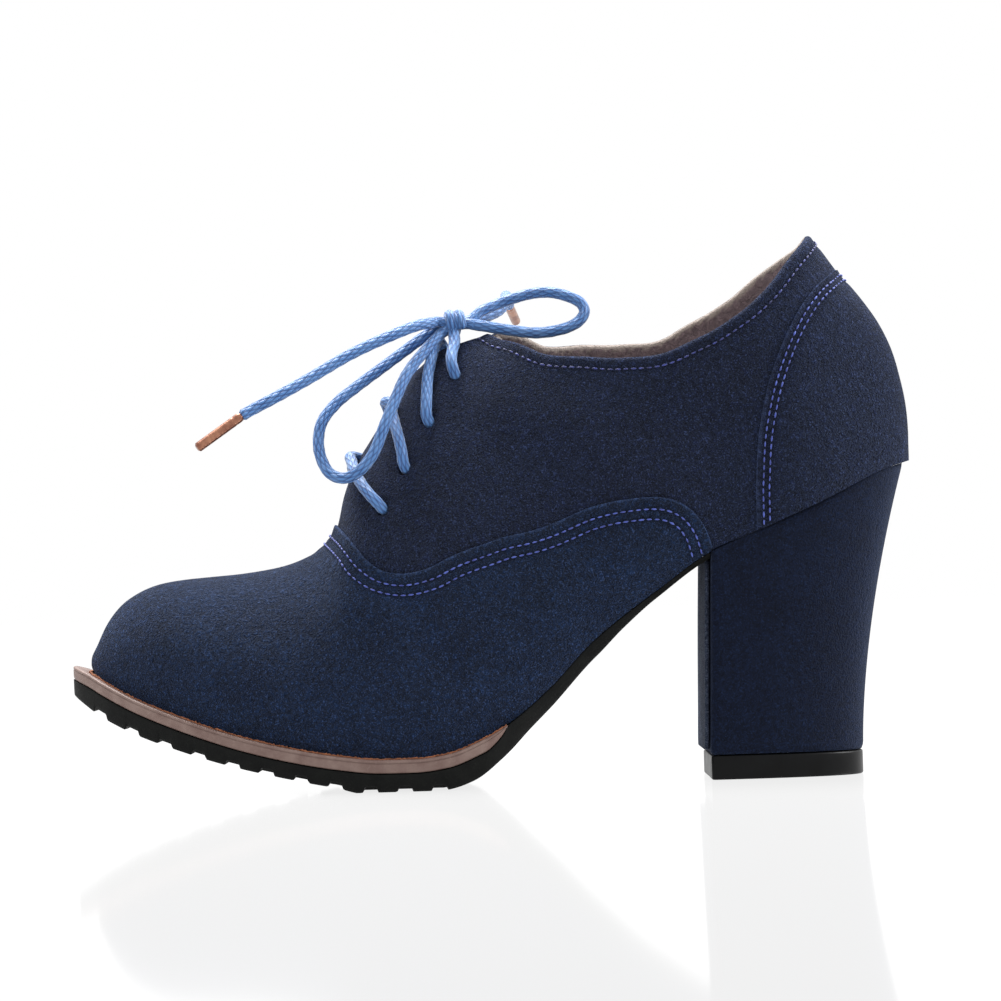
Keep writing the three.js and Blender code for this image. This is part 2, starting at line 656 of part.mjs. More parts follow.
// Heel: D shaped rings from the top lift to the seat; the front is flat and the back is round
const seatExponent = 2.5;
const liftExponent = 2.8;
const breastFootX = breastTopX - breastLean;
const ringArc = 11;
function dOutline(frontX, length, width, exponent) {
  const points = [];
  for (let k = 0; k <= ringArc; k += 1) {
    const a = (k / ringArc) * Math.PI / 2;
    points.push(new THREE.Vector2(frontX + length * Math.sin(a) ** (2 / exponent), -width / 2 * Math.cos(a) ** (2 / exponent)));
  }
  const back = points.slice(0, -1).reverse().map((p) => new THREE.Vector2(p.x, -p.y));
  return [new THREE.Vector2(frontX, 0), new THREE.Vector2(frontX, -width / 4), ...points, ...back,
    new THREE.Vector2(frontX, width / 4)];
}

const heelFlare = 1.7;
function makeHeel() {
  const foot = dOutline(breastFootX, liftLength, liftWidth, liftExponent);
  const seat = dOutline(breastTopX, seatLength, seatWidth, seatExponent);
  const rings = [];
  const levels = 9;
  for (let r = 0; r <= levels; r += 1) {
    const t = r / levels;
    rings.push(foot.map((p, i) => {
      const blend = t ** (1 + (heelFlare - 1) * (p.x - breastFootX) / liftLength);
      const x = THREE.MathUtils.lerp(p.x, seat[i].x, blend);
      const y = THREE.MathUtils.lerp(p.y, seat[i].y, t);
      const topZ = featherZ(seat[i].x) - soleSeam;
      return new THREE.Vector3(x, y, THREE.MathUtils.lerp(liftThickness + seam, topZ, t));
    }));
  }
  return loft(rings);
}

function makeTopLift() {
  const outline = dOutline(breastFootX, liftLength - 0.4, liftWidth - 0.4, liftExponent);
  return loft([0, liftThickness].map((z) => outline.map((p) => new THREE.Vector3(p.x, p.y, z))));
}

function makeFlap() {
  const footZ = liftThickness + flapFoot;
  const faceX = (z) => breastFootX + (breastTopX - breastFootX) * (z - footZ) / (featherZ(breastTopX) - footZ) - seam;
  const topZ = soleBottom(breastTopX - 3) - seam - 0.5;
  const half = flapWidth / 2;
  const ring = (z, narrow) => [
    new THREE.Vector3(faceX(z) - flapThickness, -half + narrow, z), new THREE.Vector3(faceX(z), -half + narrow, z),
    new THREE.Vector3(faceX(z), half - narrow, z), new THREE.Vector3(faceX(z) - flapThickness, half - narrow, z),
  ];
  return loft([ring(footZ, 3), ring(footZ + 1, 1), ring(footZ + 3, 0), ring(topZ, 0)]);
}

// Laces: each crossing is two strands that rise from their holes, lie on the facings and meet over the throat,
// up to where they pass under the other facing
const strandGrow = quarterGrow + laceRadius + laceClearance;
const strandShare = 0.66;
function strand(from, to, side) {
  const steps = 6;
  const points = [];
  for (let i = 0; i <= steps; i += 1) {
    const t = strandShare * i / steps;
    const share = from.along + (to.along - from.along) * t;
    points.push(facingPoint(share, eyeletY(from, side) * (1 - t) + eyeletY(to, -side) * t, strandGrow));
  }
  return tube(points, laceRadius, 6);
}

function makeCrossing(i) {
  const lateral = strand(eyelets[i], eyelets[i + 1], -1);
  const medial = strand(eyelets[i], eyelets[i + 1], 1);
  return lateral.add(medial);
}

// Bow, by hand: the knot over the top of the throat, two loops and two ends
const knotCentre = [-7.6, -1.5, 126.2];
const knotSize = [4.6, 4.4, 3.7];
const knotRise = 0.12;
const bow = {
  lace_end_left: [[-13.6, -4.6, 126.6], [-18, -10, 125.6], [-26, -15, 122.4], [-36, -19, 117.8], [-47, -24, 111.4],
    [-56, -28, 106.4], [-63, -30, 102.8], [-64.9, -30.8, 101.7]],
  lace_loop_left: [[-12.4, -5.2, 122.6], [-16.3, -10, 118.4], [-21, -15.5, 112.2], [-24.2, -20, 105.4],
    [-27.4, -23.5, 97.8], [-30.6, -25.5, 90.3], [-34.5, -26, 85.8], [-38.4, -25.5, 84.1], [-42.2, -24, 85.4],
    [-44.5, -22, 89.2], [-45.4, -20, 94], [-44.4, -18, 99.5], [-40.5, -15, 104.7], [-35, -12, 109.2],
    [-28.1, -8.5, 114.3], [-21.9, -5, 118.9], [-16.5, -2.6, 122.8], [-13.2, -1.4, 124.9]],
  lace_loop_right: [[-2.6, -0.4, 127.8], [-0.5, 1, 129.6], [4.6, 3.4, 131.9], [9.2, 4, 133.4], [13.7, 4, 134.4],
    [18.7, 3, 134.5], [23.5, 2, 133.2], [27, 1, 131.2], [28, 0, 128.8], [26.8, -1, 126.5],
    [24, -2, 124.7], [19, -3, 123.4], [14, -3, 123.1], [8, -3, 123.9], [2, -3, 125], [-2.7, -2.6, 125.9]],
  lace_end_right: [[-5.1, 2.6, 126.9], [-1.2, 9, 128], [4.2, 17, 130.6], [6.2, 27, 133.7], [6.6, 39, 136.3],
    [7, 46, 136.2], [7.4, 53, 134.6]],
};
const aglets = {
  aglet_left: { from: [-65.5, -31, 101.3], to: [-77.2, -35, 93] },
  aglet_right: { from: [7.45, 53.6, 134.4], to: [9.4, 66, 130.6] },
};
const agletRadius = 1.35;
const vectors = (points) => points.map((p) => new THREE.Vector3(...p));

function makeKnot() {
  const ball = new THREE.SphereGeometry(1, 12, 8);
  ball.scale(...knotSize);
  ball.rotateX(Math.PI / 2);
  ball.translate(...knotCentre);
  let knot = solidOf(ball);
  for (const side of [-1, 1]) {
    const row = eyelets.at(-1);
    const y = eyeletY(row, side);
    const points = [0, 0.25, 0.5].map((t) => facingPoint(row.along + t * knotRise, y * (1 - t), strandGrow));
    points.push(new THREE.Vector3(knotCentre[0], knotCentre[1] + side * 1.5, knotCentre[2] - 0.5));
    knot = knot.add(tube(points, laceRadius, 8));
  }
  return knot;
}

// Materials and assembly
const material = (color, roughness, metalness = 0) => new THREE.MeshStandardMaterial({ color, roughness, metalness });
const suede = material(0x1f2f52, 0.95);
const lining = material(0x6d5d5c, 1);
const weltRubber = material(0x8b7571, 0.7);
const soleRubber = material(0x1c1c1c, 0.8);
const liftRubber = material(0x121213, 0.4);
const lace = material(0x3f6db4, 0.6);
const agletMetal = material(0x8a5a4a, 0.4, 0.6);

const shoe = new THREE.Group();
function place(name, solid, finish) {
  const mesh = new THREE.Mesh(geometryOf(solid), finish);
  mesh.name = name;
  shoe.add(mesh);
}

place('upper', makeUpper(), suede);
place('tongue', makeTongue(), suede);
place('insole', makeInsole(), lining);
place('welt', makeWelt(), weltRubber);
place('outsole', makeOutsole(), soleRubber);
place('heel', makeHeel(), suede);
place('heel_breast_flap', makeFlap(), suede);
place('top_lift', makeTopLift(), liftRubber);
for (let i = 0; i + 1 < eyelets.length; i += 1) place(`lace_crossing_${i + 1}`, makeCrossing(i), lace);
place('lace_knot', makeKnot(), lace);
for (const [name, points] of Object.entries(bow)) {
  place(name, tube(vectors(points), laceRadius, name.includes('loop') ? 20 : 12), lace);
}
for (const [name, { from, to }] of Object.entries(aglets)) place(name, tube(vectors([from, to]), agletRadius, 1), agletMetal);

export default shoe;
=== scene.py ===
import math

import bmesh
import bpy
import numpy as np
from mathutils import Matrix, Vector, kdtree


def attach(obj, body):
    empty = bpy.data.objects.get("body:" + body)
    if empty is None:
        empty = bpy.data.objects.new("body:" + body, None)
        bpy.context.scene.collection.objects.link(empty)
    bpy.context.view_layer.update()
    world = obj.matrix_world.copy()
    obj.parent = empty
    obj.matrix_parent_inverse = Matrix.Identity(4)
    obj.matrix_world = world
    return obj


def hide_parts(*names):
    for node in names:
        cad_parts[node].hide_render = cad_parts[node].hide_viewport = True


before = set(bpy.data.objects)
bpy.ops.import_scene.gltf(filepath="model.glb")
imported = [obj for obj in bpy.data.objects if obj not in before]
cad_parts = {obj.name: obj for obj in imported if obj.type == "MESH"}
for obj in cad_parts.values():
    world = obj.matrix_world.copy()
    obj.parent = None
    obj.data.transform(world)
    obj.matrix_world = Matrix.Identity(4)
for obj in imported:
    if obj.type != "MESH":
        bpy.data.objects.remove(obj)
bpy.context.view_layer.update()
print("frame loaded")

metre = 0.001  # every size below is in millimetres; meshes are written in metres


# Camera, floor and light

view = {
    "distance": 1190,
    "eyeHeight": 53,
    "aimX": 3.4,
    "aimHeight": 77.4,
    "rollDegrees": 1.65,
    "lens": 155.6,
    "sensor": 36,
}


def placeCamera():
    eye = np.array([view["aimX"], -view["distance"], view["eyeHeight"]])
    aim = np.array([view["aimX"], 0, view["aimHeight"]])
    forward = (aim - eye) / np.linalg.norm(aim - eye)
    right = np.array([1.0, 0, 0])
    up = np.cross(right, forward)
    roll = math.radians(view["rollDegrees"])
    rolledRight = right * math.cos(roll) - up * math.sin(roll)
    rolledUp = right * math.sin(roll) + up * math.cos(roll)
    data = bpy.data.cameras.new("camera")
    data.lens = view["lens"]
    data.sensor_width = view["sensor"]
    data.sensor_fit = "HORIZONTAL"
    data.clip_end = 20
    seen = bpy.data.objects.new("camera", data)
    turn3 = Matrix([[rolledRight[i], rolledUp[i], -forward[i]] for i in range(3)])
    seen.matrix_world = Matrix.Translation((eye * metre).tolist()) @ turn3.to_4x4()
    bpy.context.collection.objects.link(seen)
    bpy.context.scene.camera = seen


placeCamera()


def linearColour(code):
    # sRGB hex to linear, with alpha
    parts = [int(code[i:i + 2], 16) / 255 for i in (1, 3, 5)]
    return [c / 12.92 if c <= 0.04045 else ((c + 0.055) / 1.055) ** 2.4 for c in parts] + [1]


def addNode(tree, kind, settings=None):
    # one node; a setting gives an input's value or hex colour, what feeds that input, or a choice of its own
    made = tree.nodes.new(kind)
    for key, value in (settings or {}).items():
        if isinstance(value, bpy.types.Node):
            value = value.outputs[0]
        if isinstance(value, str) and value.startswith("#"):
            value = linearColour(value)
        if isinstance(value, bpy.types.NodeSocket):
            tree.links.new(value, made.inputs[key])
        elif isinstance(key, int) or key in made.inputs:
            made.inputs[key].default_value = value
        else:
            setattr(made, key, value)
    return made


def newMaterial(name):
    made = bpy.data.materials.new(name)
    made.use_nodes = True
    made.node_tree.nodes.clear()
    return made, made.node_tree


studio = {
    "worldStrength": 1.0,
    "floorReflection": 0.2,
    "floorRoughness": 0.06,
    "floorGlow": 1.0,
    "floorTint": 0.04,
    "floorCorners": [(-6, -3, 0), (6, -3, 0), (6, 9, 0), (-6, 9, 0)],
    "lightAim": (0, 0, 0.07),
    "topLight": {"at": (-0.15, 0.5, 1.2), "size": 0.6, "watts": 38.0},
    "sideLight": {"at": (-1.3, 0.1, 0.6), "size": 0.5, "watts": 2.0},
    "backLight": {"at": (1.2, 0.1, 0.8), "size": 0.6, "watts": 20.0},
}


def makeStudio():
    world = bpy.data.worlds.new("studio")
    world.use_nodes = True
    world.node_tree.nodes["Background"].inputs["Color"].default_value = (1, 1, 1, 1)
    world.node_tree.nodes["Background"].inputs["Strength"].default_value = studio["worldStrength"]
    bpy.context.scene.world = world
    bpy.context.scene.view_settings.view_transform = "Standard"

    for name in ("topLight", "sideLight", "backLight"):
        row = studio[name]
        data = bpy.data.lights.new(name, "AREA")
        data.size = row["size"]
        data.energy = row["watts"]
        lamp = bpy.data.objects.new(name, data)
        away = np.array(studio["lightAim"]) - np.array(row["at"])
        lamp.location = row["at"]
        lamp.rotation_euler = Vector(away).to_track_quat("-Z", "Y").to_euler()
        bpy.context.collection.objects.link(lamp)

    mesh = bpy.data.meshes.new("floor")
    mesh.from_pydata(studio["floorCorners"], [], [(0, 1, 2, 3)])
    floor = bpy.data.objects.new("floor", mesh)
    bpy.context.collection.objects.link(floor)
    # glossy white acrylic sheet, lit from below: a faint mirror under the shoe
    paint, tree = newMaterial("whiteAcrylicFloor")
    matt = addNode(tree, "ShaderNodeBsdfDiffuse", {"Color": (studio["floorTint"],) * 3 + (1,)})
    glow = addNode(tree, "ShaderNodeEmission", {"Color": "#ffffff", "Strength": studio["floorGlow"]})
    matt = addNode(tree, "ShaderNodeAddShader", {0: matt, 1: glow})
    mirror = addNode(tree, "ShaderNodeBsdfGlossy", {
        "Color": "#ffffff", "Roughness": studio["floorRoughness"]})
    mixed = addNode(tree, "ShaderNodeMixShader", {"Fac": studio["floorReflection"], 1: matt, 2: mirror})
    addNode(tree, "ShaderNodeOutputMaterial", {"Surface": mixed})
    mesh.materials.append(paint)


makeStudio()
print("camera, light and floor")


# The last: the same form as the solids, from the same short tables

last = {
    "shoeLength": 231.8,
    "soleTipMargin": 5.4,
    "ballWidth": 76,
    "ballHeight": 8.9,
    "toeSpring": 24.7,
    "heelRise": 76.3,
    "coneHeight": 110,
    "bulgeHeight": 22,
    "bulgeShare": 0.35,
    "throatFrom": 0.3085,
    "throatTo": 0.492,
}
upperWall = {"wall": 2.4, "suedeStep": 0.9, "counterStep": 0.5, "gapBottom": 2.6, "gapTop": 9.5}
# the slot between the facings, by shares: where it may lie along the upper, and how its foot is rounded
throatSlot = {"from": 0.28, "to": 0.53, "footStart": 0.3, "footRound": 1.6, "steps": 12 / 1.12}
soleTipX = -last["shoeLength"] / 2
backX = last["shoeLength"] / 2
toeX = soleTipX + last["soleTipMargin"]
lastLength = backX - toeX

# share of the sole's length, of the toe spring, of the heel rise
featherRows = np.array([
    (0, 1.093, 0), (0.023, 1, 0), (0.044, 0.892, 0), (0.083, 0.709, 0), (0.146, 0.474, 0),
    (0.206, 0.287, 0), (0.258, 0.162, 0), (0.317, 0.057, 0), (0.368, 0.004, 0), (0.411, 0, 0.001),
    (0.446, 0, 0.014), (0.484, 0, 0.057), (0.52, 0, 0.117), (0.563, 0, 0.224), (0.618, 0, 0.392),
    (0.695, 0, 0.565), (0.753, 0, 0.685), (0.823, 0, 0.773), (0.89, 0, 0.86), (0.964, 0, 0.966), (1, 0, 1),
])
# share of the sole's length, its depth, how far its foot is pulled in
soleRows = np.array([
    (0, 0.91, 0.08), (0.037, 1.09, 0.08), (0.148, 1.01, 0.08), (0.256, 0.935, 0.08), (0.312, 0.95, 0.08),
    (0.345, 1.04, 0.08), (0.411, 1.04, 0.08), (0.446, 1.06, 0.1), (0.476, 1.09, 0.15), (0.509, 0.9, 0.25),
    (0.545, 0.67, 0.45), (0.622, 0.565, 0.5), (0.654, 0.39, 0.45), (0.69, 0.25, 0.3), (0.75, 0.21, 0.2),
])
# share of the upper's length, height of the ridge over the feather edge
ridgeRows = np.array([
    (0, 0), (0.007, 0.062), (0.022, 0.147), (0.048, 0.229), (0.088, 0.301), (0.15, 0.36), (0.229, 0.424),
    (0.272, 0.475), (0.284, 0.502), (0.296, 0.543), (0.305, 0.589), (0.313, 0.646), (0.324, 0.706),
    (0.344, 0.779), (0.375, 0.878), (0.406, 0.962), (0.441, 1.002), (0.494, 0.994), (0.54, 0.975),
    (0.622, 0.935), (0.746, 0.944), (0.799, 0.955), (0.846, 0.833), (0.892, 0.657), (0.926, 0.521),
    (0.949, 0.438), (0.971, 0.349), (0.989, 0.24), (1, 0),
])
# share of the upper's length, half widths of the body and of its lower edge on each side, the ridge's place,
# the arch's exponent, lift of the closed tips
planRows = np.array([
    (0, -0.105, 0.105, -0.105, 0.105, 0.105, 2.2, 0.022),
    (0.007, 0.02, 0.226, 0.022, 0.222, 0.103, 2.2, 0.006),
    (0.022, 0.112, 0.309, 0.105, 0.303, 0.1, 2.2, 0),
    (0.048, 0.213, 0.384, 0.204, 0.375, 0.096, 2.25, 0),
    (0.088, 0.312, 0.443, 0.296, 0.428, 0.088, 2.3, 0),
    (0.15, 0.408, 0.493, 0.388, 0.474, 0.072, 2.3, 0),
    (0.229, 0.474, 0.517, 0.454, 0.5, 0.05, 2.2, 0),
    (0.282, 0.5, 0.514, 0.484, 0.498, 0.036, 2.1, 0),
    (0.344, 0.514, 0.495, 0.5, 0.474, 0.02, 1.95, 0),
    (0.406, 0.509, 0.461, 0.497, 0.421, 0.008, 1.85, 0),
    (0.494, 0.474, 0.408, 0.452, 0.316, 0, 1.85, 0),
    (0.622, 0.414, 0.376, 0.368, 0.257, 0, 2, 0),
    (0.746, 0.382, 0.37, 0.345, 0.283, 0, 2.1, 0),
    (0.799, 0.376, 0.364, 0.348, 0.312, 0, 2.1, 0),
    (0.846, 0.368, 0.356, 0.346, 0.322, 0, 2.15, 0),
    (0.892, 0.342, 0.333, 0.322, 0.309, 0, 2.2, 0),
    (0.926, 0.3, 0.294, 0.28, 0.274, 0, 2.2, 0),
    (0.949, 0.259, 0.255, 0.239, 0.236, 0, 2.2, 0),
    (0.971, 0.207, 0.204, 0.184, 0.181, 0, 2.2, 0),
    (0.989, 0.142, 0.141, 0.114, 0.113, 0, 2.2, 0),
    (1, 0, 0, 0, 0, 0, 2.2, 0.064),
])
# share of the upper's length, height of the topline on the lateral and the medial side
collarRows = np.array([
    (0.47, 1.04, 1.04), (0.49, 0.985, 0.99), (0.503, 0.95, 0.975), (0.521, 0.912, 0.945),
    (0.561, 0.8, 0.836), (0.605, 0.697, 0.744), (0.654, 0.611, 0.664), (0.723, 0.532, 0.588),
    (0.757, 0.522, 0.585), (0.792, 0.535, 0.597), (0.828, 0.565, 0.624), (0.863, 0.618, 0.641),
    (0.88, 0.641, 0.647), (0.9, 0.675, 0.675),
])
# cut edges of the overlays: share of the upper's length, height over the feather edge
vampEdge = np.array([
    (0.299, 0.56), (0.322, 0.52), (0.342, 0.476), (0.363, 0.45), (0.386, 0.442), (0.414, 0.449),
    (0.447, 0.466), (0.497, 0.452), (0.548, 0.396), (0.598, 0.332), (0.648, 0.272), (0.692, 0.212),
    (0.722, 0.145), (0.744, 0.062), (0.755, -0.02),
])
counterEdge = np.array([
    (0.808, -0.03), (0.808, 0.1), (0.812, 0.21), (0.822, 0.31), (0.838, 0.395), (0.862, 0.475),
    (0.889, 0.525), (0.917, 0.545),
])


def through(xs, ys, value):
    # smooth curve through a table that never overshoots its rows
    slope = np.diff(ys) / np.diff(xs)
    tangent = np.empty_like(ys)
    tangent[0], tangent[-1] = slope[0], slope[-1]
    before, after = slope[:-1], slope[1:]
    together = np.where(np.abs(before + after) < 1e-12, 1, before + after)
    tangent[1:-1] = np.where(before * after <= 0, 0, 2 * before * after / together)
    i = np.clip(np.searchsorted(xs, value, side="left") - 1, 0, len(xs) - 2)
    step = xs[i + 1] - xs[i]
    t = (value - xs[i]) / step
    t2, t3 = t * t, t * t * t
    inside = ((2 * t3 - 3 * t2 + 1) * ys[i] + (t3 - 2 * t2 + t) * step * tangent[i]
              + (-2 * t3 + 3 * t2) * ys[i + 1] + (t3 - t2) * step * tangent[i + 1])
    low = ys[0] + tangent[0] * (value - xs[0])
    high = ys[-1] + tangent[-1] * (value - xs[-1])
    return np.where(value < xs[0], low, np.where(value > xs[-1], high, inside))


def turnOf(at):
    # a share read as the angle of a half turn, which makes closed ends round
    return np.arccos(1 - 2 * np.clip(at, 0, 1)) / np.pi


def turnSteps(first, final, count):
    # shares that are even by that angle
    return (1 - np.cos(np.pi * np.linspace(turnOf(first), turnOf(final), count))) / 2


def runOf(line):
    # length along a line up to each of its points
    return np.concatenate([[0], np.cumsum(np.linalg.norm(np.diff(line, axis=0), axis=1))])


def xAt(at):
    return toeX + at * lastLength


def shareAt(x):
    return (x - toeX) / lastLength


def soleShare(x):
    return (x - soleTipX) / last["shoeLength"]


def featherZ(x):
    at = soleShare(x)
    spring = through(featherRows[:, 0], featherRows[:, 1], at)
    rise = through(featherRows[:, 0], featherRows[:, 2], at)
    return last["ballHeight"] + last["toeSpring"] * spring + last["heelRise"] * rise


def planShare(at, column):
    return through(turnOf(planRows[:, 0]), planRows[:, column], turnOf(at))


def edgeY(at, side):
    return side * last["ballWidth"] * planShare(at, 3 if side < 0 else 4)


def lastPoint(at, arch):
    # at runs from toe to back, arch from the lateral edge (-1) over the ridge (0) to the medial edge (1)
    at, arch = np.broadcast_arrays(np.asarray(at, float), np.asarray(arch, float))
    lateral = arch < 0
    x = xAt(at)
    bottom = featherZ(x) + last["coneHeight"] * planShare(at, 7)
    height = last["coneHeight"] * through(turnOf(ridgeRows[:, 0]), ridgeRows[:, 1], turnOf(at))
    height = np.maximum(height, 1e-6)
    width = last["ballWidth"]
    crest = width * planShare(at, 5)
    body = np.where(lateral, -width * planShare(at, 1), width * planShare(at, 2)) - crest
    edge = np.where(lateral, edgeY(at, -1), edgeY(at, 1)) - crest
    power = 2 / planShare(at, 6)
    angle = (1 - np.minimum(np.abs(arch), 1)) * np.pi / 2
    up = np.sin(angle) ** power
    across = np.maximum(np.cos(angle), 0) ** power
    widest = np.minimum(last["bulgeShare"], last["bulgeHeight"] / height)
    low = np.maximum(0, 1 - up / widest)
    inset = np.where(np.abs(body) > 1e-6, 1 - edge / np.where(np.abs(body) > 1e-6, body, 1), 0)
    return np.stack([x, crest + body * across * (1 - inset * low * low), bottom + height * up], -1)


def lastNormal(at, arch):
    at, arch = np.broadcast_arrays(np.asarray(at, float), np.asarray(arch, float))
    step = np.maximum(np.minimum(0.004, np.minimum(at / 2, (1 - at) / 2)), 1e-5)
    along = lastPoint(at + step, arch) - lastPoint(at - step, arch)
    around = lastPoint(at, np.minimum(arch + 0.02, 1)) - lastPoint(at, np.maximum(arch - 0.02, -1))
    normal = np.cross(along, around)
    normal /= np.maximum(np.linalg.norm(normal, axis=-1, keepdims=True), 1e-12)
    normal[at < 1e-4] = (-1, 0, 0)
    normal[at > 1 - 1e-4] = (1, 0, 0)
    return normal


def formPoint(at, arch, grow):
    return lastPoint(at, arch) + lastNormal(at, arch) * np.asarray(grow, float)[..., None]


def archWhere(at, side, isLower):
    # unsigned arch of the first place down from the ridge where the section meets a test
    low, high = np.zeros_like(at), np.ones_like(at)
    for _ in range(30):
        middle = (low + high) / 2
        above = ~isLower(lastPoint(at, side * middle))
        low, high = np.where(above, middle, low), np.where(above, high, middle)
    return (low + high) / 2


def archAtHeight(at, z, side):
    at = np.asarray(at, float)
    return archWhere(at, side, lambda p: p[..., 2] <= z)


# throat line up the ridge, read by its length
throatAt = last["throatFrom"] + (last["throatTo"] - last["throatFrom"]) * np.linspace(-0.32, 1.3, 163)
throatLine = lastPoint(throatAt, 0)
throatRun = runOf(throatLine)
throatStart = np.interp(last["throatFrom"], throatAt, throatRun)
throatLength = np.interp(last["throatTo"], throatAt, throatRun) - throatStart


def throatFrame(share):
    at = np.interp(throatStart + np.asarray(share, float) * throatLength, throatRun, throatAt)
    point = lastPoint(at, 0)
    along = lastPoint(at + 0.005, 0) - lastPoint(at - 0.005, 0)
    along[..., 1] = 0
    along /= np.linalg.norm(along, axis=-1, keepdims=True)
    inward = np.stack([along[..., 2], 0 * along[..., 0], -along[..., 0]], -1)
    return point, along, inward


def throatShare(at):
    return (np.interp(at, throatAt, throatRun) - throatStart) / throatLength


def facingPlace(share, inset, side):
    point, _, inward = throatFrame(share)
    place = point + inward * np.asarray(inset, float)[..., None]
    at = shareAt(place[..., 0])
    return at, side * archAtHeight(at, place[..., 2], side)


def facingPoint(share, y, grow):
    # over the facings, at a share of the throat and a distance across from its centre line
    share, y, grow = np.broadcast_arrays(*(np.asarray(v, float) for v in (share, y, grow)))
    side = np.where(y < 0, -1.0, 1.0)
    crest = throatFrame(share)[0][..., 1]
    low, high = np.zeros_like(y), np.full_like(y, 30.0)
    for _ in range(24):
        middle = (low + high) / 2
        at, arch = facingPlace(share, middle, side)
        near = np.abs(lastPoint(at, arch)[..., 1] - crest) < np.abs(y)
        low, high = np.where(near, middle, low), np.where(near, high, middle)
    at, arch = facingPlace(share, low, side)
    return formPoint(at, arch, grow)


def halfGap(share):
    fromFoot = share * throatSlot["steps"] + throatSlot["footStart"]
    rounded = np.sqrt(np.clip(fromFoot / throatSlot["footRound"], 0, 1))
    return (upperWall["gapBottom"] + (upperWall["gapTop"] - upperWall["gapBottom"]) * share) / 2 * rounded


quarterGrow = -upperWall["suedeStep"] / 2
vampGrow = upperWall["suedeStep"] / 2
counterGrow = quarterGrow + upperWall["counterStep"]
liningGrow = quarterGrow - upperWall["wall"]


# Panel edges

def vampTop(at, side):
    z = featherZ(xAt(at)) + last["coneHeight"] * through(vampEdge[:, 0], vampEdge[:, 1], at)
    return np.where(at <= vampEdge[0, 0], 0, archAtHeight(at, z, side))


def quarterTop(at, side):
    share = throatShare(np.clip(at, throatAt[0], throatAt[-1]))
    crest = last["ballWidth"] * planShare(at, 5)
    half = np.where((at > throatSlot["from"]) & (at < throatSlot["to"]), halfGap(share), 0)
    facing = np.where(half > 0, archWhere(at, side, lambda p: np.abs(p[..., 1] - crest) >= half), 0)
    column = 1 if side < 0 else 2
    z = featherZ(xAt(at)) + last["coneHeight"] * through(collarRows[:, 0], collarRows[:, column], at)
    collar = np.where(at > collarRows[0, 0], archAtHeight(at, z, side), 0)
    return np.maximum(facing, np.where(collar < 1e-4, 0, collar))


def evenStations(first, final, top, step):
    # places along the form, even by the longer of the upper and the lower edge
    at = turnSteps(first, final, 6000)
    run = np.zeros(len(at) - 1)
    for side in (-1, 1):
        for line in (lastPoint(at, side * top(at, side)), lastPoint(at, side)):
            run = np.maximum(run, np.linalg.norm(np.diff(line, axis=0), axis=1))
    run = np.concatenate([[0], np.cumsum(run)])
    return np.interp(np.linspace(0, run[-1], math.ceil(run[-1] / step) + 1), run, at)


def unit(v):
    return v / np.maximum(np.linalg.norm(v, axis=-1, keepdims=True), 1e-12)


def nearestPlace(target, at, arch, rounds=6):
    # at and arch of the place on the form nearest to each target point
    for _ in range(rounds):
        here = lastPoint(at, arch)
        da = (lastPoint(at + 1e-4, arch) - here) / 1e-4
        db = (lastPoint(at, arch + 1e-4) - here) / 1e-4
        off = target - here
        aa, bb, ab = (da * da).sum(-1), (db * db).sum(-1), (da * db).sum(-1)
        ra, rb = (da * off).sum(-1), (db * off).sum(-1)
        det = np.maximum(aa * bb - ab * ab, 1e-9)
        at = np.clip(at + np.clip((ra * bb - rb * ab) / det, -0.02, 0.02), 1e-4, 1 - 1e-4)
        arch = np.clip(arch + np.clip((rb * aa - ra * ab) / det, -0.1, 0.1), -1, 1)
    return at, arch


def insetLine(at, arch, distance, grow, away):
    # a line on the form at a distance from an edge line, on the side that "away" points to
    line = lastPoint(at, arch)
    normal = lastNormal(at, arch)
    tangent = unit(np.gradient(line, axis=0))
    across = unit(np.cross(normal, tangent)) * away
    newAt, newArch = nearestPlace(line + across * distance, at, arch)
    return formPoint(newAt, newArch, np.full(len(newAt), grow)), newAt, newArch


def evenLine(points, step):
    run = runOf(points)
    spots = np.linspace(0, run[-1], max(2, round(run[-1] / step) + 1))
    return np.stack([np.interp(spots, run, points[:, k]) for k in range(3)], -1)


# distance of each stitch row from its edge, how the thread sinks into the suede, and how wide the painted
# shade along the sunk groove is
seams = {
    "vampFirst": 2.9,
    "vampSecond": 5.6,
    "counterFirst": 1.65,
    "counterSecond": 3.3,
    "collar": 2.4,
    "endClear": 1.2,
    "needle": 0.3,
    "pucker": 1.1,
    "grooveShade": 0.55,
}
# how fine each panel's grid is, along the shoe in millimetres and in rows up to its edge
panels = {
    "vampStep": 1.0,
    "vampRows": 74,
    "quarterStep": 0.95,
    "quarterRows": 84,
    "quarterEdgeFrom": 0.303,
    "liningStep": 1.5,
    "liningRows": 60,
    "rimRadius": 1.15,
    "backSteps": 8,
}
throatFoot = vampEdge[0, 0]
vampStations = evenStations(0, 0.7515, vampTop, panels["vampStep"])
wing = np.concatenate([[throatFoot], vampStations[vampStations > throatFoot + 0.0005]])


def vampEdgeLine():
    # over the ridge from one wing's tail to the other
    lateral = np.stack([wing, -vampTop(wing, -1)], -1)
    medial = np.stack([wing, vampTop(wing, 1)], -1)
    both = np.concatenate([lateral[::-1], medial[1:]])
    return both[:, 0], both[:, 1]


def counterFront(height):
    return np.where(height < counterEdge[1, 1], counterEdge[0, 0],
                    through(counterEdge[1:, 1], counterEdge[1:, 0], height))


def atHeight(at, height, side):
    # z at a share of the cone's height over the feather edge, and the arch there
    z = featherZ(xAt(at)) + last["coneHeight"] * height
    return z, archAtHeight(at, z, side)


# Meshes from grids of points

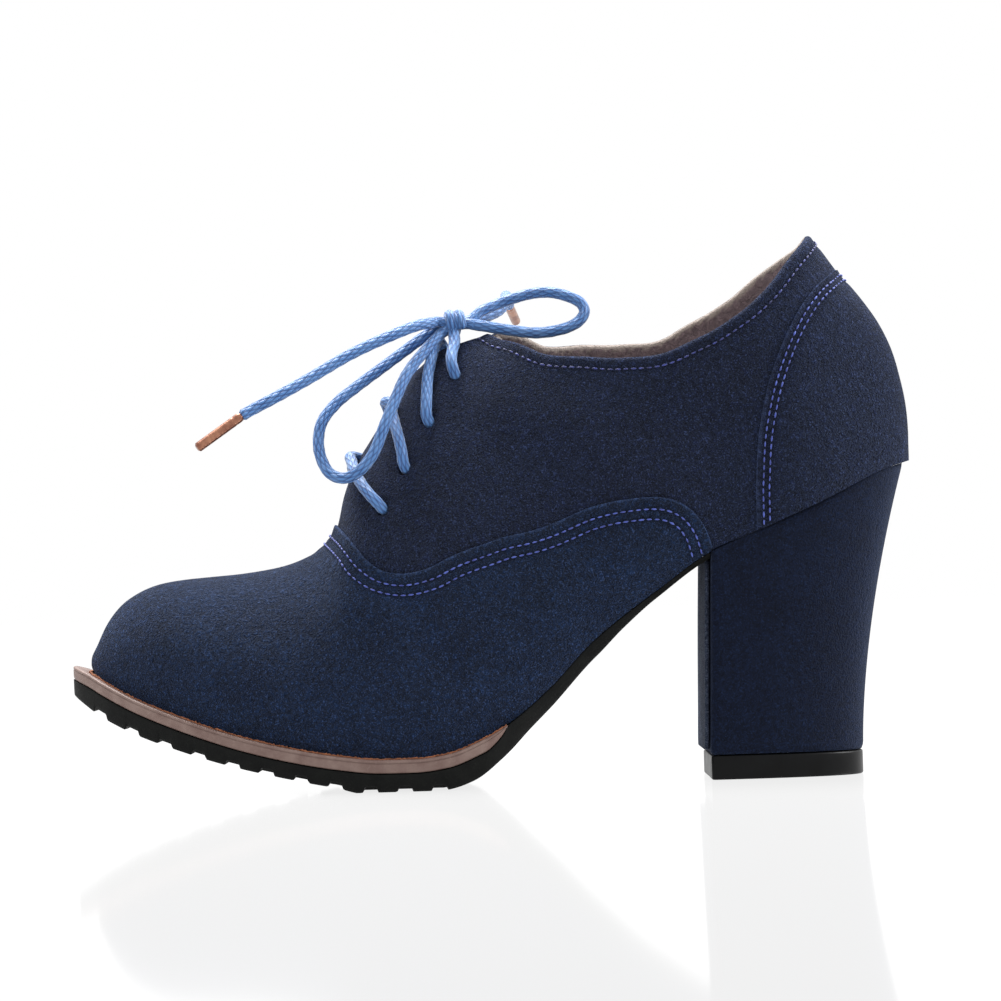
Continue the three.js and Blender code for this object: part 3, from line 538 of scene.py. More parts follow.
def gridFaces(columns, rows, first=0, closed=False):
    a = np.arange(columns * rows).reshape(columns, rows) + first
    if closed:
        a = np.concatenate([a, a[:, :1]], 1)
    return np.stack([a[:-1, :-1], a[1:, :-1], a[1:, 1:], a[:-1, 1:]], -1).reshape(-1, 4)


class Skin:
    # collects grids of points in millimetres into one object
    def __init__(self, name):
        self.name, self.points, self.faces, self.count, self.uv, self.marks = name, [], [], 0, [], []

    def grid(self, points, closed=False, outward=None, uv=None, marks=None):
        columns, rows = points.shape[:2]
        faces = gridFaces(columns, rows, self.count, closed)
        if outward is not None:
            c, r = min(columns // 2, columns - 2), min(rows // 2, rows - 2)
            normal = np.cross(points[c + 1, r] - points[c, r], points[c, r + 1] - points[c, r])
            if np.dot(normal, np.broadcast_to(outward, points.shape)[c, r]) < 0:
                faces = faces[:, ::-1]
        self.points.append(points.reshape(-1, 3))
        self.faces.append(faces)
        self.uv.append(np.zeros((columns * rows, 2)) if uv is None else uv.reshape(-1, 2))
        self.marks.append(np.zeros((columns * rows, 2)) if marks is None else marks.reshape(-1, 2))
        self.count += columns * rows

    def build(self, paint, merge=0.00002):
        mesh = bpy.data.meshes.new(self.name)
        points = np.concatenate(self.points) * metre
        faces = np.concatenate(self.faces)
        mesh.from_pydata(points.tolist(), [], faces.tolist())
        uv = np.concatenate(self.uv)
        if np.abs(uv).max() > 0:
            layer = mesh.uv_layers.new(name="along")
            corner = np.empty(len(mesh.loops), int)
            mesh.loops.foreach_get("vertex_index", corner)
            layer.data.foreach_set("uv", uv[corner].ravel())
        for k, label in enumerate(("edge", "grooveShade")):
            values = np.concatenate(self.marks)[:, k]
            if values.any():
                mesh.attributes.new(label, "FLOAT", "POINT").data.foreach_set("value", values)
        work = bmesh.new()
        work.from_mesh(mesh)
        if merge:
            bmesh.ops.remove_doubles(work, verts=work.verts, dist=merge)
            bmesh.ops.dissolve_degenerate(work, edges=work.edges, dist=1e-7)
        work.to_mesh(mesh)
        work.free()
        mesh.materials.append(paint)
        mesh.polygons.foreach_set("use_smooth", [True] * len(mesh.polygons))
        mesh.update()
        made = bpy.data.objects.new(self.name, mesh)
        bpy.context.collection.objects.link(made)
        return made


def ringsAround(line, side, up, angles, size):
    # rings of points about a line; size has a row for each ring
    ring = side[:, None] * np.cos(angles)[None, :, None] + up[:, None] * np.sin(angles)[None, :, None]
    return line[:, None] + ring * size[..., None]


def pointedEnds(points, line):
    # rings with both ends drawn together to the line's first and last point
    ends = [np.broadcast_to(line[k], (1,) + points.shape[1:]) for k in (0, -1)]
    return np.concatenate([ends[0], points, ends[1]])


def closedRings(name, rings, centre, shares=(0, 0.5, 1)):
    # a wall of rings with a flat disc over the first and the last
    skin = Skin(name)
    skin.grid(rings, closed=True, outward=rings - centre)
    for k, way in ((0, -1.0), (-1, 1.0)):
        disc = np.stack([rings[k] * (1 - q) + centre[k] * q for q in shares])
        skin.grid(disc, closed=True, outward=np.array([0, 0, way]))
    return skin


def finishPiece(piece, node):
    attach(piece, "root")
    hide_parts(node)
    print("piece", piece.name, len(piece.data.polygons), "faces")


# Stitch rows, creases and other relief of the upper

edgeAt, edgeArch = vampEdgeLine()
stitchLines = {}
for name in ("vampFirst", "vampSecond"):
    stitchLines[name] = insetLine(edgeAt, edgeArch, seams[name], vampGrow, 1)[0]


def nearDistance(points, lines):
    # distance from each point to the nearest of some lines
    spots = np.concatenate([evenLine(line, 0.4) for line in lines])
    tree = kdtree.KDTree(len(spots))
    for k, spot in enumerate(spots):
        tree.insert(spot, k)
    tree.balance()
    flat = points.reshape(-1, 3)
    return np.array([tree.find(p)[2] for p in flat]).reshape(points.shape[:-1])


# soft troughs (depth > 0) and swells (depth < 0), each a line of places in the side view, in millimetres
creases = [
    {"side": -1, "line": [(-44, 72), (-36, 62), (-24, 53), (-10, 47)], "depth": 0.5, "width": 5.0},
    {"side": -1, "line": [(-30, 60), (-22, 50), (-14, 38), (-10, 28)], "depth": 0.45, "width": 4.0},
    {"side": -1, "line": [(-20, 52), (-8, 44), (4, 40)], "depth": -0.4, "width": 6.0},
    {"side": -1, "line": [(6, 92), (16, 82), (24, 70), (30, 60)], "depth": 0.55, "width": 7.0},
    {"side": -1, "line": [(24, 98), (34, 88), (46, 82)], "depth": -0.5, "width": 8.0},
    {"side": -1, "line": [(50, 104), (58, 94), (72, 88)], "depth": 0.4, "width": 7.0},
    {"side": -1, "line": [(-70, 58), (-60, 48), (-56, 36)], "depth": 0.35, "width": 6.0},
    {"side": 1, "line": [(-44, 72), (-34, 60), (-22, 50)], "depth": 0.5, "width": 5.0},
    {"side": 1, "line": [(4, 90), (14, 78), (24, 66)], "depth": 0.6, "width": 7.0},
    {"side": 1, "line": [(-20, 44), (-6, 34), (6, 34)], "depth": 0.5, "width": 6.0},
]


def creaseSpots(row):
    x, z = np.array(row["line"], float).T
    steps = np.linspace(0, len(x) - 1, 24)
    at = shareAt(np.interp(steps, range(len(x)), x))
    height = np.interp(steps, range(len(x)), z)
    return lastPoint(at, row["side"] * archAtHeight(at, height, row["side"]))


# slow waves and finer ripples all over the worn suede, in millimetres
wear = {"waves": 0.16, "ripples": 0.08}


def softForm(points):
    # how far the worn suede sinks or swells from the plain last
    total = np.zeros(points.shape[:-1])
    flat = points.reshape(-1, 3)
    for row in creases:
        off = np.full(len(flat), np.inf)
        for spot in creaseSpots(row):
            off = np.minimum(off, ((flat - spot) ** 2).sum(1))
        total -= row["depth"] * np.exp(-off / row["width"] ** 2).reshape(total.shape)
    x, y, z = points[..., 0], points[..., 1], points[..., 2]
    total += wear["waves"] * np.sin(x / 9.1 + 0.6 * np.sin(z / 13)) * np.sin(z / 11.3 + y / 17)
    total += wear["ripples"] * np.sin(x / 4.3 + z / 6.1) * np.sin(z / 5.2 - x / 7.7 + y / 9)
    return total


def sewnSurface(at, arch, grow, lines):
    # the outer skin of a panel: form, creases and the groove that the thread pulls in, with a mark for the
    # painted shade along that groove
    plain = lastPoint(at, arch)
    normal = lastNormal(at, arch)
    lift = np.full(plain.shape[:-1], float(grow)) + softForm(plain)
    grooveShade = np.zeros(plain.shape[:-1])
    if lines:
        off = nearDistance(plain + normal * grow, lines)
        lift -= seams["needle"] * np.exp(-((off / seams["pucker"]) ** 2))
        # mark for the painted shade that darkens the suede along the thread's groove
        grooveShade = np.exp(-((off / seams["grooveShade"]) ** 2))
    return plain + normal * lift[..., None], normal, grooveShade


def rolledEdge(border, normal, inner, radius, drop, steps=4):
    # rows that turn a panel's free edge round and down; inner is the row before the border
    tangent = unit(np.gradient(border, axis=0))
    across = unit(np.cross(normal, tangent))
    if (across * (border - inner)).sum() < 0:
        across = -across
    rows = [border]
    for a in np.linspace(0, math.pi / 2, steps + 1)[1:]:
        rows.append(border + across * radius * math.sin(a) - normal * radius * (1 - math.cos(a)))
    if drop:
        rows.append(rows[-1] - normal * drop)
    return np.stack(rows, 1)


def markedGrid(skin, points, grooveShade=0.0, edge=0.0, outward=None):
    marks = np.zeros(points.shape[:2] + (2,))
    marks[..., 0], marks[..., 1] = edge, grooveShade
    skin.grid(points, outward=outward, marks=marks)


def rolledGrid(skin, points, normal, first, radius, drop, edge=1.0, way=1):
    # the rolled edge along the last row of a panel's grid, from one of its columns on
    border, away = points[first:, -1], way * normal[first:, -1]
    rolled = rolledEdge(border, away, points[first:, -2], radius, drop)
    markedGrid(skin, rolled, edge=edge, outward=away[:, None] + 0.5 * (rolled[:, 1] - rolled[:, 0])[:, None])


def archRows(at, topOf, side, rows):
    # arch of each row of a panel that reaches from the feather edge up to its free edge
    share = np.linspace(0, 1, rows)[None, :]
    return side * (1 - share * (1 - topOf(at, side)[:, None])), share


def sidePanel(skin, at, topOf, grow, side, lines, rows, edgeFrom, radius, drop, cutRow=1.0):
    # one side of a panel, with its free edge turned in from edgeFrom on
    points, normal, grooveShade = sewnSurface(at[:, None], archRows(at, topOf, side, rows)[0], grow, lines)
    markedGrid(skin, points, grooveShade, outward=normal)
    rolledGrid(skin, points, normal, int(np.searchsorted(at, edgeFrom - 1e-9)), radius, drop, cutRow)


vampSkin = Skin("vamp")
places = np.concatenate([vampStations[vampStations < throatFoot - 0.0005], wing])
for side in (-1, 1):
    sidePanel(vampSkin, places, vampTop, vampGrow, side, list(stitchLines.values()), panels["vampRows"],
              throatFoot, 0.4, 0.9)

quarterStations = evenStations(0.27, 1, quarterTop, panels["quarterStep"])
collarAt = quarterStations[(quarterStations > 0.4885) & (quarterStations < 0.899)]
collarLines, counterLines = {}, {}
for side in (-1, 1):
    arch = side * quarterTop(collarAt, side)
    collarLines[side] = insetLine(collarAt, arch, seams["collar"], quarterGrow, side)[0]
    height = np.linspace(0, counterEdge[-1, 1], 60)
    at = counterFront(height)
    arch = side * atHeight(at, height, side)[1]
    for name in ("counterFirst", "counterSecond"):
        line, lineAt, lineArch = insetLine(at, arch, seams[name], counterGrow, side)
        line = line[line[:, 2] > featherZ(line[:, 0]) + seams["endClear"]]
        # on round the back at the same height, up to the middle
        level = lastPoint(lineAt[-1:], lineArch[-1:])[0, 2]
        backAt = np.linspace(0.9, 1, 400)
        backAt = backAt[np.argmin(np.abs(lastPoint(backAt, 0)[:, 2] - level))]
        roundAt = np.linspace(lineAt[-1], backAt, panels["backSteps"] + 1)[1:]
        roundArch = side * archAtHeight(roundAt, np.full_like(roundAt, level), side)
        roundArch[-1] = 0
        around = formPoint(roundAt, roundArch, np.full_like(roundAt, counterGrow))
        counterLines[name, side] = np.concatenate([line, around])

quarterSkin = Skin("quarters")
for side in (-1, 1):
    sidePanel(quarterSkin, quarterStations, quarterTop, quarterGrow, side, [collarLines[side]],
              panels["quarterRows"], panels["quarterEdgeFrom"], panels["rimRadius"], 0, 0.35)

# suede counter: rows at even height wrap from its front edge to the back line
counterSkin = Skin("counter")
for side in (-1, 1):
    height = np.linspace(0, counterEdge[-1, 1] - 0.0005, 70)
    front = counterFront(height)
    ridge = through(turnOf(ridgeRows[20:, 0]), ridgeRows[20:, 1], turnOf(np.linspace(0.9, 1, 500)))
    back = np.interp(height, ridge[::-1], np.linspace(1, 0.9, 500))
    wrap = np.sin(np.linspace(1, 0, 64) * math.pi / 2)
    at = front[:, None] + (back - front)[:, None] * wrap[None, :]
    z, arch = atHeight(at, height[:, None], side)
    arch[:, 0] = 0
    lines = [counterLines["counterFirst", side], counterLines["counterSecond", side]]
    points, normal, grooveShade = sewnSurface(at, side * arch, counterGrow, lines)
    # where the last's closed end rises at the very back, the counter goes on down to the seat
    short = lastPoint(at, side * arch)[..., 2] > z + 0.02
    points[short, 2] = z[short]
    markedGrid(counterSkin, points, grooveShade, outward=normal)
    rolledGrid(counterSkin, points, normal, 0, 0.3, 0.5)

# fleece lining: the inside of the upper and the inner half of its rim
liningSkin = Skin("lining")
liningAt = evenStations(0.02, 1, quarterTop, panels["liningStep"])
for side in (-1, 1):
    arch, share = archRows(liningAt, quarterTop, side, panels["liningRows"])
    plain, normal = lastPoint(liningAt[:, None], arch), lastNormal(liningAt[:, None], arch)
    x, y, z = plain[..., 0], plain[..., 1], plain[..., 2]
    tufts = 0.28 * np.sin(x / 0.9 + np.sin(z / 1.7)) * np.sin(z / 1.1 + np.sin(x / 1.9)) * (1 - share ** 12)
    points = plain + normal * (liningGrow + softForm(plain) + tufts)[..., None]
    markedGrid(liningSkin, points, outward=-normal)
    first = int(np.searchsorted(liningAt, panels["quarterEdgeFrom"]))
    rolledGrid(liningSkin, points, normal, first, panels["rimRadius"], 0, way=-1)


tonguePiece = {"halfWidth": 21, "thickness": 2.4, "from": -0.12, "to": 1.02, "under": 0.45}


def tongueSheet(name, depth, up):
    # a sheet across the throat, at a depth under the tongue's face
    half = tonguePiece["halfWidth"]
    shares = np.linspace(tonguePiece["from"], tonguePiece["to"], 70)
    share, y = np.meshgrid(shares, np.linspace(-half, half, 60), indexing="ij")
    grow = liningGrow - tonguePiece["under"] - depth
    points = facingPoint(share, np.where(np.abs(y) < 0.05, 0.05, y), grow)
    skin = Skin(name)
    markedGrid(skin, points, outward=np.array([-0.7, 0, 0.7]) * up)
    return skin, points


def edgeStrip(skin, first, second, bulge):
    # a rounded strip that joins two edges of equal count
    t = np.linspace(0, 1, 7)[None, :, None]
    points = first[:, None] * (1 - t) + second[:, None] * t + bulge * np.sin(t * math.pi)
    inner = unit(points[:, 3] - (first + second) / 2)
    markedGrid(skin, points, edge=1.0, outward=inner[:, None])


tongueSkin, tongueTop = tongueSheet("tongueSuede", 0, 1)
tongueBack, tongueUnder = tongueSheet("tongueLining", tonguePiece["thickness"], -1)
for rim in (0, -1):
    away = np.array([0, (-1 if rim == 0 else 1) * 1.1, 0])
    edgeStrip(tongueBack, tongueTop[:, rim], tongueUnder[:, rim], away)
tipAway = throatFrame(np.array([tonguePiece["to"]]))[1][0] * 1.2
edgeStrip(tongueBack, tongueTop[-1], tongueUnder[-1], tipAway)
edgeStrip(tongueBack, tongueTop[0], tongueUnder[0], -tipAway)
print("panels laid out")


# Welt, sole and heel

sole = {
    "depth": 9.2,
    "weltThickness": 3.5,
    "marginToe": 5.4,
    "marginSide": 3.8,
    "seam": 0.3,
    "upperSeam": 0.45,
    "weltEnd": 0.5135,
    "breast": 0.7575,
    "lugDepth": 1.5,
    "lugPitch": 9.2,
    "lugGap": 3.6,
    "lugReach": 17,
    "lugStart": 9,
    "lugFree": 14,
    "lugSoft": 0.35,
    "toeRows": 330,
    "waistRows": 110,
    "wallRows": 9,
    "treadRows": 96,
}
weltEndAt = shareAt(soleTipX + sole["weltEnd"] * last["shoeLength"])
breastTopX = soleTipX + sole["breast"] * last["shoeLength"]


def sideMargin(at):
    t = np.clip((at - weltEndAt + 0.03) / 0.09, 0, 1)
    fade = t * t * (3 - 2 * t)
    return sole["marginSide"] * (1 - fade) - 0.5 * fade


def outlineRib(at, side, marginOf):
    # points of the upper's plan outline, moved out by a margin
    low, high = np.maximum(at - 0.003, 0), np.minimum(at + 0.003, 1)
    tangent = unit(np.stack([xAt(high) - xAt(low), edgeY(high, side) - edgeY(low, side)], -1))
    normal = np.stack([-side * tangent[:, 1], side * tangent[:, 0]], -1)
    normal *= np.where(normal[:, 1:] * side < 0, -1, 1)
    return np.stack([xAt(at), edgeY(at, side)], -1) + normal * marginOf(normal[:, 0])[:, None]


def planRib(at, side, inward):
    # points of the sole's plan outline, moved in from its edge
    extra = sole["marginToe"] - sole["marginSide"]
    return outlineRib(at, side, lambda nx: sideMargin(at) + extra * np.maximum(0, -nx) ** 2 - inward)


def aroundToe(at, inward):
    # the outline from one end over the toe to the other
    return np.concatenate([planRib(at[::-1], -1, inward), planRib(at[1:], 1, inward)])


def soleStations(final, count):
    return turnSteps(0.0004, final, count)


def weltTop(x):
    return featherZ(x) - sole["upperSeam"]


def weltBottom(x):
    end = xAt(weltEndAt)
    share = np.sqrt(np.clip((end - x) / 5, 0, 1)) * 0.94 + 0.06
    return weltTop(x) - sole["weltThickness"] * share


def soleBottom(x):
    return np.maximum(0, featherZ(x) - sole["depth"] * through(soleRows[:, 0], soleRows[:, 1], soleShare(x)))


weltAt = soleStations(weltEndAt, 190)
weltSkin = Skin("weltBand")
# distance in from the edge, share of the way down from the top; the notch is the welt's fine moulded line
weltProfile = [
    (8, 0, 0), (0.7, 0, 0), (0.25, 0.12, 0), (0.02, 0.45, 0), (0, 0.75, 0), (0.2, 0.85, 0), (0.22, 1.0, 0),
    (0.02, 1.12, 0), (0, 1.3, 0), (0, 1.2, 1), (0.05, 0.35, 1), (0.3, 0, 1), (8, 0, 1),
]
rings = []
for inward, off, fromBottom in weltProfile:
    plan = aroundToe(weltAt, inward)
    top, bottom = weltTop(plan[:, 0]), weltBottom(plan[:, 0])
    thin = np.clip((top - bottom) / sole["weltThickness"], 0.05, 1)
    z = bottom + off * thin if fromBottom else top - off * thin
    rings.append(np.column_stack([plan, z]))
weltGrid = np.stack(rings, 1)
weltGrid = pointedEnds(weltGrid, weltGrid.mean(1))
weltSkin.grid(weltGrid, closed=True, outward=np.array([-1.0, 0, 0]))

# rough thread ends between upper and welt
fibreBead = {"margin": 0.75, "radius": 0.3, "step": 0.4, "rise": 0.12, "stray": 0.09}
fibreAt = soleStations(weltEndAt, 420)
fibreEdge = [outlineRib(fibreAt, side, lambda nx: np.full_like(nx, fibreBead["margin"])) for side in (-1, 1)]
fibreLine = np.concatenate([fibreEdge[0][::-1], fibreEdge[1][1:]])
fibreHeight = weltTop(fibreLine[:, 0]) + fibreBead["rise"]
fibreLine = evenLine(np.column_stack([fibreLine, fibreHeight]), fibreBead["step"])
fibreDice = np.random.default_rng(11)
fibreLine += fibreDice.normal(0, fibreBead["stray"], fibreLine.shape)
fibreSize = fibreBead["radius"] * fibreDice.uniform(0.6, 1.5, len(fibreLine))
fibreTangent = unit(np.gradient(fibreLine, axis=0))
fibreSide = unit(np.cross(fibreTangent, [0, 0, 1.0]))
fibreUp = np.cross(fibreSide, fibreTangent)
fibreAngles = np.linspace(0, 2 * math.pi, 7)[:-1]
fibrePoints = ringsAround(fibreLine, fibreSide, fibreUp, fibreAngles, fibreSize[:, None])
fibrePoints = pointedEnds(fibrePoints, fibreLine)
fibreSkin = Skin("lastingFibre")
fibreSkin.grid(fibrePoints, closed=True, outward=fibrePoints - fibrePoints.mean(1, keepdims=True))


def lugLift(x, fromLeft, fromRight):
    # how far the tread is cut up at a place of the forepart
    grooves = int((xAt(weltEndAt) - soleTipX - sole["lugFree"]) // sole["lugPitch"])
    first = soleTipX + sole["lugStart"]
    k = np.clip(np.round((x - first) / sole["lugPitch"]), 0, grooves - 1)

    def inside(d, half):
        return 1 / (1 + np.exp(np.clip((np.abs(d) - half) / sole["lugSoft"] * 4, -40, 40)))

    side = inside(x - first - k * sole["lugPitch"], sole["lugGap"] / 2)
    side = side * np.maximum(inside(fromLeft, sole["lugReach"]), inside(fromRight, sole["lugReach"]))
    j = np.clip(np.round((x - first) / sole["lugPitch"] - 0.5), 1, grooves - 2) + 0.5
    middle = inside(x - first - j * sole["lugPitch"], sole["lugGap"] * 0.4)
    far = sole["lugReach"] + 3
    middle = middle * (1 - inside(fromLeft, far)) * (1 - inside(fromRight, far))
    return sole["lugDepth"] * np.maximum(side, middle)


def makeOutsole():
    skin = Skin("treadSole")
    front = soleStations(weltEndAt, sole["toeRows"])
    rear = np.linspace(weltEndAt + 0.002, shareAt(breastTopX - sole["seam"]), sole["waistRows"])
    at = np.concatenate([front, rear])
    left, right = planRib(at, -1, 0), planRib(at, 1, 0)
    isFront = np.arange(len(at)) < len(front)
    feet = {}
    for side, plan in ((-1, left), (1, right)):
        x = plan[:, 0]
        pull = through(soleRows[:, 0], soleRows[:, 2], soleShare(x)) * sole["depth"]
        top, bottom = np.where(isFront, weltBottom(x) - sole["seam"], weltTop(x)), soleBottom(x)
        cut = lugLift(x, np.zeros_like(x), np.full_like(x, 99))
        width = np.abs(right[:, 1] - left[:, 1])
        pull = np.minimum(pull, width * 0.4)
        wall = [np.column_stack([x, plan[:, 1] - side * np.minimum(6, width * 0.45), top])]
        for t in np.linspace(0, 1, sole["wallRows"]):
            corner = 0.35 * (1 - math.sqrt(max(0, 1 - max(0, (t - 0.9) / 0.1) ** 2)))
            y = plan[:, 1] - side * (pull * t ** 1.3 + corner)
            z = top + (bottom + cut - top) * t
            wall.append(np.column_stack([x, y, z]))
        wall = np.stack(wall, 1)
        skin.grid(wall, outward=np.array([0, side, 0]))
        feet[side] = wall[:, -1]
    s = np.linspace(0, 1, sole["treadRows"])[None, :, None]
    bottomGrid = feet[-1][:, None] * (1 - s) + feet[1][:, None] * s
    fromLeft = np.abs(bottomGrid[..., 1] - feet[-1][:, None, 1])
    fromRight = np.abs(bottomGrid[..., 1] - feet[1][:, None, 1])
    lift = lugLift(bottomGrid[..., 0], fromLeft, fromRight)
    bottomGrid[:, 1:-1, 2] = (soleBottom(bottomGrid[..., 0]) + lift)[:, 1:-1]
    skin.grid(bottomGrid, outward=np.array([0, 0, -1.0]))
    return skin


outsoleSkin = makeOutsole()

# fleece sock over the insole
insolePiece = {"thickness": 2.6, "clear": 3.75, "edgeRound": 2.2, "pile": 0.18, "least": 0.1, "under": 0.05}
insoleSkin = Skin("insoleSock")
insoleAt = turnSteps(0.02, 0.985, 220)
insoleLeft, insoleRight = (
    outlineRib(insoleAt, side, lambda nx: np.full_like(nx, -insolePiece["clear"])) for side in (-1, 1))
s = np.linspace(0, 1, 70)
plan = insoleLeft[:, None] * (1 - s)[None, :, None] + insoleRight[:, None] * s[None, :, None]
fromRim = np.minimum(s, 1 - s) * np.abs(insoleRight[:, 1] - insoleLeft[:, 1])[:, None]
shoulder = np.sqrt(1 - (1 - np.clip(fromRim / insolePiece["edgeRound"], 0, 1)) ** 2)
x, y = plan[..., 0], plan[..., 1]
pile = insolePiece["pile"] * np.sin(x / 0.8) * np.sin(y / 0.9 + np.sin(x / 2.1))
full = insolePiece["thickness"] - insolePiece["least"] + pile
insoleSkin.grid(np.dstack([plan, featherZ(x) + insolePiece["least"] + full * shoulder]),
                outward=np.array([0, 0, 1.0]))
insoleSkin.grid(np.dstack([plan, featherZ(x) + insolePiece["under"]]), outward=np.array([0, 0, -1.0]))

heelPiece = {
    "liftThickness": 6.5,
    "liftLength": 42.8,
    "liftWidth": 48,
    "seatLength": 54.4,
    "seatWidth": 52.6,
    "lean": 1.6,
    "seatExponent": 2.5,
    "liftExponent": 2.8,
    "flare": 1.7,
    "seatSeam": 0.12,
    "cornerRadius": 1.1,
    "ringPoints": 180,
}
breastFootX = breastTopX - heelPiece["lean"]


def dOutline(frontX, length, width, exponent, inset=0.0):
    # D shape: flat front with rounded corners, round back
    a = np.linspace(0, 1, 56) ** 0.9 * math.pi / 2
    x = frontX + length * np.sin(a) ** (2 / exponent)
    y = -width / 2 * np.cos(a).clip(0) ** (2 / exponent)
    half = np.column_stack([x, y])
    radius = heelPiece["cornerRadius"]
    keep = half[half[:, 0] > frontX + radius * 1.05]
    start = keep[0]
    corner = []
    for k in range(7):
        b = k / 6 * math.pi / 2
        corner.append((frontX + radius * (1 - math.cos(b)), start[1] + radius * (1 - math.sin(b)) + 0.02))
    front = [(frontX, start[1] * t) for t in np.linspace(0, 0.93, 10)]
    half = np.concatenate([front, corner, keep])
    ring = np.concatenate([half, (half * (1, -1))[::-1][1:-1]])
    if inset:
        centre = np.array([frontX + length * 0.45, 0])
        ring = ring - unit(ring - centre) * inset
    return ring


def resampleRing(ring):
    # the same number of points on each ring, starting at the middle of the front
    whole = np.concatenate([ring, ring[:1]])
    run = runOf(whole)
    spots = np.linspace(0, run[-1], heelPiece["ringPoints"], endpoint=False)
    return np.column_stack([np.interp(spots, run, whole[:, k]) for k in (0, 1)])


def heelRing(frontX, end, inset=0.0):
    # outline of the heel at its lift or its seat
    shape = [heelPiece[end + measure] for measure in ("Length", "Width", "Exponent")]
    return resampleRing(dOutline(frontX, *shape, inset))


def makeHeel():
    foot, seat = heelRing(breastFootX, "lift"), heelRing(breastTopX, "seat")
    t = np.linspace(0, 1, 80)[:, None]
    flare = 1 + (heelPiece["flare"] - 1) * (foot[None, :, 0] - breastFootX) / heelPiece["liftLength"]
    blend = t ** flare
    x = foot[None, :, 0] * (1 - blend) + seat[None, :, 0] * blend
    y = foot[None, :, 1] * (1 - t) + seat[None, :, 1] * t
    low = heelPiece["liftThickness"] + sole["seam"]
    topZ = featherZ(seat[:, 0]) - heelPiece["seatSeam"]
    z = low + (topZ[None, :] - low) * t
    rings = np.stack([x, y, z], -1)
    # the cover turns under at its foot and tucks in under the seat
    centre = rings.mean(1, keepdims=True)
    for k, pull in ((0, 0.5), (1, 0.12), (-1, 0.2), (-2, 0.05)):
        rings[k, :, :2] -= unit(rings[k, :, :2] - centre[k, :, :2]) * pull
    return closedRings("heelCover", rings, centre)


def makeTopLift():
    height = heelPiece["liftThickness"]
    rings = []
    levels = [(0, 0.7), (0.15, 0.35), (0.5, 0.2), (height - 0.6, 0.2), (height - 0.2, 0.3), (height, 0.7)]
    for z, inset in levels:
        ring = heelRing(breastFootX, "lift", inset)
        rings.append(np.column_stack([ring, np.full(len(ring), z)]))
    rings = np.stack(rings)
    return closedRings("topLift", rings, rings.mean(1, keepdims=True))


flap = {
    "thickness": 1.2,
    "width": 44,
    "foot": 1.6,
    "topSeam": 0.15,
    "cornerRise": 3.6,
    "cornerCut": 3.2,
    "wave": 0.048,
    "waveLength": 8.5,
}


def makeFlap():
    # the suede flap that hangs down the heel's front, its foot corners cut round
    footZ = heelPiece["liftThickness"] + flap["foot"]
    seatZ = float(featherZ(breastTopX))
    topZ = float(soleBottom(breastTopX - flap["thickness"])) - flap["topSeam"]
    half = flap["width"] / 2
    rings = []
    for z in np.concatenate([footZ + np.linspace(0, 1, 12) ** 2 * 4, np.linspace(footZ + 4.8, topZ, 50)]):
        back = breastFootX + heelPiece["lean"] * (z - footZ) / (seatZ - footZ) - sole["seam"]
        corner = 1 - min(1, (z - footZ) / flap["cornerRise"])
        width = half - flap["cornerCut"] * (1 - math.sqrt(max(0, 1 - corner ** 2)))
        front = back - flap["thickness"] + flap["wave"] * math.sin(z / flap["waveLength"])
        middle = (front + back) / 2
        edge = [(front, width - 0.35), (middle - 0.2, width)]
        edge += [(middle + 0.2, width - 0.08), (back, width - 0.5)]
        ring = [(x, -y) for x, y in edge[::-1]]
        for y in np.linspace(-width + 1.2, width - 1.2, 24):
            ring.append((front - 0.05 * math.cos(y / half * 1.5), y))
        rings.append([(x, y, z) for x, y in ring + edge])
    rings = np.array(rings)
    return closedRings("heelBreastFlap", rings, rings.mean(1, keepdims=True), (0, 1))


print("sole and heel laid out")


# Laces

laces = {
    "radius": 1.55,
    "clear": 0.6,
    "agletRadius": 1.35,
    "strands": 8,
    "plaitPitch": 4.0,
    "weave": 0.06,
    "step": 0.3,
}
# how far each crossing's strands climb the throat, over the next hole's share of it
climbs = [0.05, 0.09, 0.0]
# lateral strand of the top crossing, listed point by point: share of the throat, distance across, height over
# the last
topStrand = [
    (0.491, -20.6, -4.2), (0.492, -20.5, -2.0), (0.496, -20.2, -0.2), (0.506, -19.8, 1.05),
    (0.525, -19.0, 1.6), (0.57, -17.0, 1.8), (0.65, -13.6, 1.8), (0.71, -10.0, 1.8), (0.755, -6.5, 1.9),
    (0.785, -3.0, 2.0), (0.8, 0.0, 1.2), (0.805, 3.5, -1.5), (0.803, 7.0, -2.8), (0.8, 10.5, -4.6),
]
# lace holes of each side: share of the throat, distance in from the ridge
eyelets = [(0.025, 12.2), (0.264, 13.0), (0.49, 12.0), (0.795, 9.0)]
strandGrow = quarterGrow + laces["radius"] + laces["clear"]
knot = {"centre": np.array([-7.6, -1.5, 126.2]), "rise": 0.108, "across": 2.95, "high": 2.5, "turns": 1.22}


def smoothPath(points, step):
    # centripetal curve through the route's points, as the solids' tubes have
    points = np.asarray(points, float)
    ends = np.concatenate([[2 * points[0] - points[1]], points, [2 * points[-1] - points[-2]]])
    out = []
    for i in range(len(points) - 1):
        level = ends[i:i + 4]
        gaps = np.maximum(np.linalg.norm(np.diff(level, axis=0), axis=1), 1e-6) ** 0.5
        t = np.concatenate([[0], np.cumsum(gaps)])
        u = np.linspace(t[1], t[2], 24, endpoint=False)[:, None]
        # three rounds of mixing neighbours; the last one runs over the middle span
        for far, first in ((1, 0), (2, 0), (1, 1)):
            pairs = range(len(level) - 1)
            level = [((t[k + first + far] - u) * level[k] + (u - t[k + first]) * level[k + 1])
                     / (t[k + first + far] - t[k + first]) for k in pairs]
        out.append(level[0])
    return evenLine(np.concatenate(out + [points[-1:]]), step)


